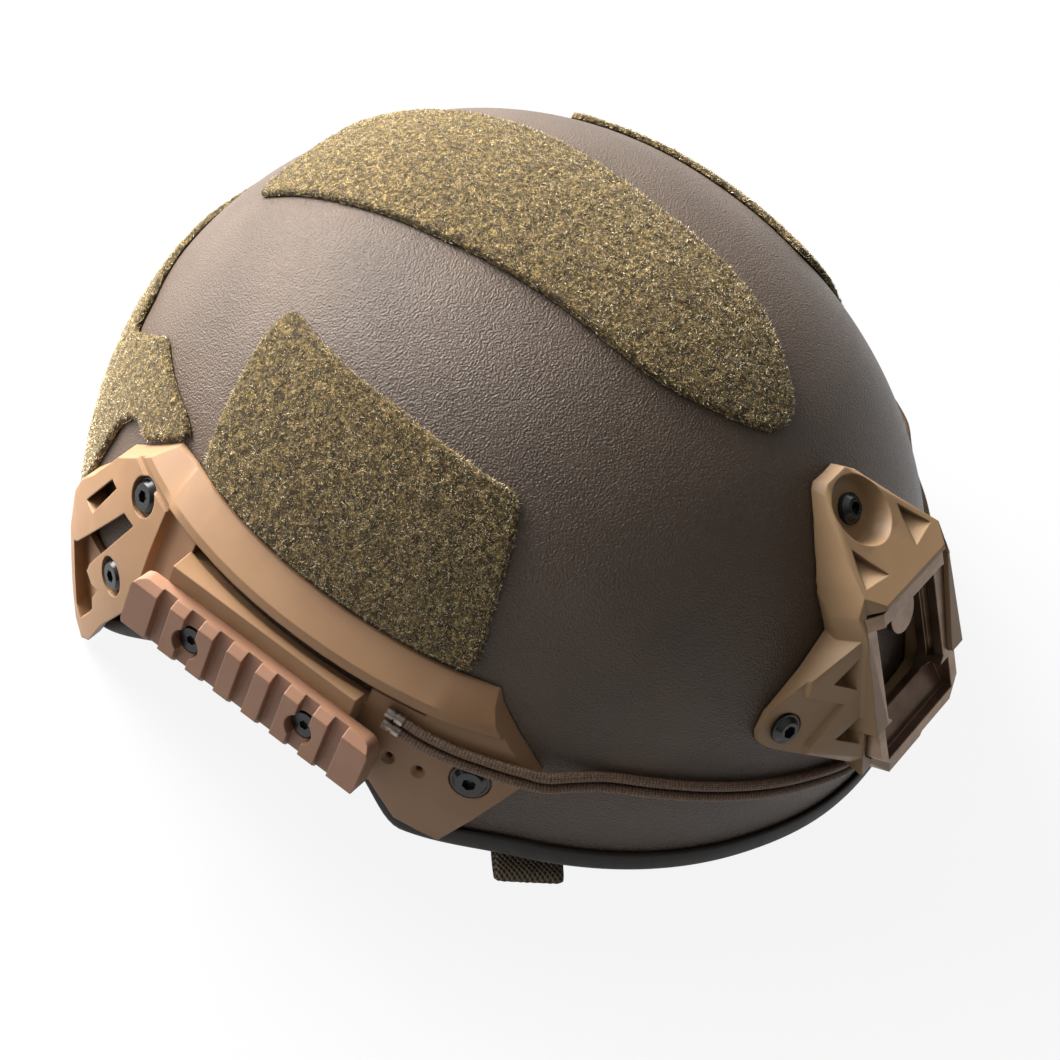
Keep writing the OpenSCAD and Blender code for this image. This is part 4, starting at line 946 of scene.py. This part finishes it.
def make_rail(mirror, word):
    """The rail of one side, as packed, with the slot cut into a copy of it."""
    node = f"rail_{word}"
    made = bpy.data.objects.new(f"slotted_{node}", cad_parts[node].data.copy())
    bpy.context.scene.collection.objects.link(made)
    whole = bmesh.new()
    whole.from_mesh(made.data)
    bmesh.ops.remove_doubles(whole, verts=whole.verts, dist=MERGE)
    whole.to_mesh(made.data)
    whole.free()
    tool = slot_tool(mirror)
    cut = made.modifiers.new("slot", "BOOLEAN")
    cut.operation = "DIFFERENCE"
    cut.solver = "EXACT"
    cut.object = tool
    ready = made.evaluated_get(bpy.context.evaluated_depsgraph_get())
    made.data = bpy.data.meshes.new_from_object(ready)
    made.modifiers.clear()
    bpy.data.objects.remove(tool)
    wear(made, "helmet", "rail", RAIL, node)
    crisp(made)


for mirror, word in BOTH_SIDES:
    make_rail(mirror, word)
dress(ACCESSORY, "accessory", "accessory_rail_right", "accessory_rail_left")
dress(SHROUD, "shroud", "shroud_base")
dress(BRONZE, "insert_metal", "shroud_insert")
dress(BLACK, "black_hardware", "accessory_screws", "rail_screws", "shroud_screws", "strap_anchors")
dress(FERRULE, "ferrule", "cord_ferrules")
dress(CRADLE, "cradle_plastic", "cradle_housing", "cradle_cover", "dial_knob")
dress(PINION, "pinion", "pinion")
dress(BAND, "band_plastic", "band_right", "band_left")
dress(BUCKLE, "buckle_plastic", "strap_junction_right", "strap_junction_left", "buckle_female", "buckle_male")


# Webbing
RIBBON_COLS, RIBBON_STEP = 22, 0.0008
RIB_RISE, RIB_ROOM = 0.00012, 0.0001
EDGE_E = 8


def make_ribbon(name, line, across, width):
    """A woven strap along a line, its edges rounded, with its own flat coordinates."""
    path, s = smooth_line(np.concatenate([line, across], 1), RIBBON_STEP)
    centre, wide = path[:, :3], path[:, 3:]
    ahead = unit(np.gradient(centre, axis=0))
    wide = unit(wide - (wide * ahead).sum(1, keepdims=True) * ahead)
    up = unit(np.cross(ahead, wide))
    x = np.linspace(-1, 1, RIBBON_COLS)
    rise = (1 - np.abs(x) ** EDGE_E) ** 0.5
    x = x * width / 2
    ribs = RIB_RISE * np.cos((s[:, None] + x[None]) * 2 * math.pi / WEB_RIB)
    half = (WEB_T / 2 - RIB_ROOM) * rise[None] + ribs * rise[None]
    top = centre[:, None] + x[None, :, None] * wide[:, None] + half[..., None] * up[:, None]
    low = centre[:, None] + x[None, :, None] * wide[:, None] - half[..., None] * up[:, None]
    ring = np.concatenate([top, low[:, ::-1][:, 1:-1]], 1)
    rows, cols = ring.shape[:2]
    points = np.concatenate([ring.reshape(-1, 3), centre[:1], centre[-1:]])
    k = np.arange(cols)
    quads = grid_quads(rows, cols, wrap_cols=True)
    tris = np.concatenate([fan(k, rows * cols), fan(k + (rows - 1) * cols, rows * cols + 1)[:, [1, 0, 2]]])
    made = link(name, points, quads[:, ::-1], tris[:, ::-1])
    u = np.concatenate([np.tile(np.concatenate([x, x[::-1][1:-1]]), rows), [0, 0]])
    v = np.concatenate([np.repeat(s, cols), [s[0], s[-1]]])
    flat_coordinates(made, u, v)
    return made


ANCHOR_H = LINER_IN - 0.0025
ANCHOR_T, ANCHOR_L, ANCHOR_Z = 0.0044, 0.012, 0.047
WEB_OUT = ANCHOR_L / 2 + 0.002
WEB_H = ANCHOR_H - ANCHOR_T / 2
FRONT_AZ, REAR_AZ = 47.5, 118
JUNCTION = (0.074, 0.004)
JUNCTION_T = 0.0056
WEB_Z = 0.0004 + JUNCTION_T / 2


def tangent(az):
    """The level way round the shell at an azimuth, as the helmet stands."""
    return turn([math.cos(math.radians(az)), math.sin(math.radians(az)), 0])


def both_ribbons(name, node, line, across):
    """The same strap of webbing on both sides."""
    for mirror, word in BOTH_SIDES:
        made = make_ribbon(f"{name}_{word}", line * mirror, across * mirror, WEB_W)
        wear(made, "helmet", "webbing", WEBBING, f"{node}_{word}")


def slot_points(at, turned, *distances):
    """Points along an anchor's slot, and the way across its webbing."""
    n = outward(at)
    down = np.array([n[2] * n[0], n[2] * n[1], -(n[0] ** 2 + n[1] ** 2)]) / np.hypot(n[0], n[1])
    side = unit(np.array([-n[1], n[0], 0]))
    way = math.cos(turned) * down + math.sin(turned) * side
    across = math.cos(turned) * side - math.sin(turned) * down
    points = np.array([at + d * way - ANCHOR_T / 2 * n for d in distances])
    return points, np.tile(across, (len(distances), 1))


# The front straps: stand-offs and heights down from the anchor, under the rim and back to the junction
front_slot, front_side = slot_points(dome(FRONT_AZ, ANCHOR_Z, ANCHOR_H), 0, 0, WEB_OUT)
front_drop = [(WEB_H + 0.0016, 0.029), (-0.017, 0.021), (-0.011, 0.0156), (-0.0045, 0.013),
              (-0.0006, 0.0122), (0.0007, 0.011), (-0.0008, 0.0099), (-0.006, 0.0093),
              (-0.014, 0.0096), (-0.024, 0.0106)]
jx, jy = JUNCTION
front_fall = place(np.array([dome(FRONT_AZ, z, h) for h, z in front_drop]))
front_line = np.concatenate([place(front_slot), front_fall,
                             [(jx + 0.001, jy - 0.040, WEB_Z + 0.001), (jx, jy - 0.028, WEB_Z),
                              (jx, jy - 0.018, WEB_Z), (jx, jy - 0.010, WEB_Z)]])
front_across = np.concatenate([turn(front_side), np.tile(tangent(FRONT_AZ), (len(front_drop), 1)),
                               [(1, 0.5, 0), (1, 0.1, 0), (1, 0, 0), (1, 0, 0)]])
both_ribbons("web_front", "strap_front", front_line, front_across)

# The rear straps, from their anchor forward to the junction
rear_slot, rear_side = slot_points(dome(REAR_AZ, ANCHOR_Z, ANCHOR_H), 0, 0, WEB_OUT)
rear_line = np.concatenate([place(rear_slot), place(dome(REAR_AZ, 0.028, WEB_H - 0.001))[None],
                            [(jx + 0.003, jy + 0.036, 0.016), (jx, jy + 0.026, WEB_Z + 0.0035),
                             (jx, jy + 0.018, WEB_Z), (jx, jy + 0.010, WEB_Z)]])
rear_across = np.concatenate([turn(rear_side), -tangent(REAR_AZ)[None],
                              [(1, -0.3, 0), (1, 0, 0), (1, 0, 0), (1, 0, 0)]])
both_ribbons("web_rear", "strap_rear", rear_line, rear_across)

# The chin straps, along a line that leaves each junction
CHIN_TURN = math.radians(49)
CHIN_START = (jx - 0.015, jy - 0.003)
CHIN_W = 0.016
BUCKLE_AT, FEMALE_L, MALE_L, CUP_FROM = 0.0135, 0.022, 0.008, 0.050
CUP_STATION = (CUP_FROM + 0.0011, 0.0019)
chin_across = (math.sin(CHIN_TURN), -math.cos(CHIN_TURN), 0)


def chin_line(stations, mirror):
    """Points at some distances along the chin strap's line, each at its height."""
    start_x, start_y = CHIN_START
    line = [(start_x - s * math.cos(CHIN_TURN), start_y - s * math.sin(CHIN_TURN), z) for s, z in stations]
    return np.array(line) * mirror


def chin_ribbon(name, node, line, mirror):
    """A stretch of the chin strap with its material, not yet put on a body."""
    made = make_ribbon(name, line, np.tile(chin_across, (len(line), 1)) * mirror, CHIN_W)
    return finish(made, "webbing", WEBBING, node)


right_line = chin_line([(0.003, WEB_Z), (0.010, WEB_Z), (0.0185, WEB_Z)], MIRROR)
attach(chin_ribbon("web_chin_right", "chin_strap_right", right_line, MIRROR), "helmet")
mid_line = chin_line(
    [(BUCKLE_AT + FEMALE_L + 0.004, WEB_Z), (BUCKLE_AT + FEMALE_L + MALE_L, WEB_Z), CUP_STATION], MIRROR)
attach(chin_ribbon("web_chin_mid", "chin_strap_mid", mid_line, MIRROR), "chin_side")
left_line = chin_line([(0.003, WEB_Z), (0.014, WEB_Z), (0.030, 0.0022), CUP_STATION], SAME)
left_web = chin_ribbon("web_chin_left", "chin_strap_left", left_line, SAME)
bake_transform(left_web)

# The elastic straps beside the cradle
CRADLE_Y, CRADLE_Z = 0.082, -0.002
CASE_HALF, BAND_TRAVEL, LID_T, TAB_L = 0.032, 0.010, 0.002, 0.011
BAND_OUT = CASE_HALF + BAND_TRAVEL + 0.0015
band_mid = CRADLE_Y + LID_T + 0.002
BAND_W = 0.014
BAND_AZ, BAND_SLOPE = 131, math.radians(56)
band_slot, band_side = slot_points(dome(BAND_AZ, 0.012, ANCHOR_H), BAND_SLOPE, WEB_OUT, 0)
band_start = BAND_OUT + TAB_L
band_line = place(np.concatenate([
    [(band_start + 2 * CLEAR, band_mid, CRADLE_Z), (band_start + 0.004, band_mid - 0.0016, CRADLE_Z)],
    [dome(az, z, WEB_H) for az, z in ((143, -0.003), (139, 0.001))], band_slot]))
band_across = turn(np.concatenate([[(0, 0.05 * i, 1) for i in range(4)], band_side]))
for mirror, word in BOTH_SIDES:
    strap = make_ribbon(f"elastic_{word}", band_line * mirror, band_across * mirror, BAND_W)
    finish(strap, "elastic", ELASTIC, f"band_strap_{word}")
    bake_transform(strap)


# Pads
PAD_ROWS, PAD_COLS, PAD_FILL = 44, 36, 0.7
# Shares of a pad's size: how far its sides draw in, and of its thickness the seam and the dimples
DRAWN_IN = 0.1
SEAM_SHARE, DIMPLE_SHARE, BACK_SLOPE = 0.28, 0.03, 1.6
CROWN_E, CROWN_SHARE = 0.42, 0.96
THIN_PAD = 0.009


def make_pad(name, node, put, thick, body="helmet"):
    """A crowned pad with a seam round its middle, its sides drawn in between the corners."""
    s = (1 - np.cos(np.linspace(0, math.pi, PAD_ROWS))) / 2
    t = (1 - np.cos(np.linspace(0, math.pi, PAD_COLS))) / 2
    s, t = np.meshgrid(s, t, indexing="ij")
    u = 0.5 + (s - 0.5) * (1 - DRAWN_IN * np.sin(math.pi * t))
    v = 0.5 + (t - 0.5) * (1 - DRAWN_IN * np.sin(math.pi * s))
    crown = np.maximum(0, np.sin(math.pi * s) * np.sin(math.pi * t)) ** CROWN_E
    seam = SEAM_SHARE * thick
    dimple = DIMPLE_SHARE * thick * np.sin(9 * s + 4 * t) * np.sin(7 * t - 3 * s) * crown
    front = put(u, v, seam + (thick - seam) * crown * CROWN_SHARE - dimple)
    back = put(u, v, seam * (1 - np.minimum(1, crown * BACK_SLOPE)))
    points = np.concatenate([front.reshape(-1, 3), back.reshape(-1, 3)])
    quads = grid_quads(PAD_ROWS, PAD_COLS)
    made = link(name, points, np.concatenate([quads[:, ::-1], quads + PAD_ROWS * PAD_COLS]))
    weld = made.modifiers.new("weld", "WELD")
    weld.merge_threshold = MERGE
    wear(made, body, "pad_fabric", PAD, node)


def band_pad(az0, az1, z0, z1):
    """Puts a pad on the liner, between two azimuths and two heights."""
    return lambda u, v, d: place(dome(az0 + (az1 - az0) * u, z0 + (z1 - z0) * v, PAD_H - d))


def mirror_of(put):
    """The same pad's place on the other side."""
    return lambda u, v, d: put(1 - u, v, d) * MIRROR


# Half the sizes of the pad under the crown, across and along, and of the one at the nape, across and up
CROWN_PAD = (0.034, 0.046)
NAPE_PAD = (CASE_HALF - 0.001, 0.014)


def on_liner_top(u, v, d):
    half_x, half_y = CROWN_PAD
    return place(top_point(half_x * (1 - 2 * u), half_y * (2 * v - 1), PAD_H - d))


def on_cradle(u, v, d):
    half_x, half_z = NAPE_PAD
    return place(np.stack([half_x * (1 - 2 * u), CRADLE_Y - CLEAR - d, CRADLE_Z + half_z * (2 * v - 1)], -1))


# The chin cup is an arc round a centre behind it, between the ends of the two chin straps
chin_end = chin_line([(CUP_FROM, 0)], SAME)[0]
CUP_R = chin_end[0] / math.sin(CHIN_TURN)
CUP_Y = chin_end[1] + CUP_R * math.cos(CHIN_TURN)
CUP_W, CUP_FOOT = 0.026, 0.0005


def on_cup(u, v, d):
    a = CHIN_TURN * (1 - 2 * u)
    r = CUP_R + (v - 0.5) * CUP_W
    return np.stack([r * np.sin(a), CUP_Y - r * np.cos(a), CUP_FOOT + d], -1)


side_pad = band_pad(68, 112, 0.054, 0.086)
make_pad("comfort_front", "pad_front", band_pad(-27, 27, 0.044, 0.078), PAD_T)
make_pad("comfort_rear", "pad_rear", band_pad(160, 200, 0.050, 0.082), PAD_T)
make_pad("comfort_side_left", "pad_side_left", side_pad, PAD_T)
make_pad("comfort_side_right", "pad_side_right", mirror_of(side_pad), PAD_T)
make_pad("comfort_crown", "pad_crown", on_liner_top, PAD_T)
make_pad("comfort_nape", "nape_pad", on_cradle, THIN_PAD)
make_pad("chin_pad", "chin_cup", on_cup, THIN_PAD, "chin_side")
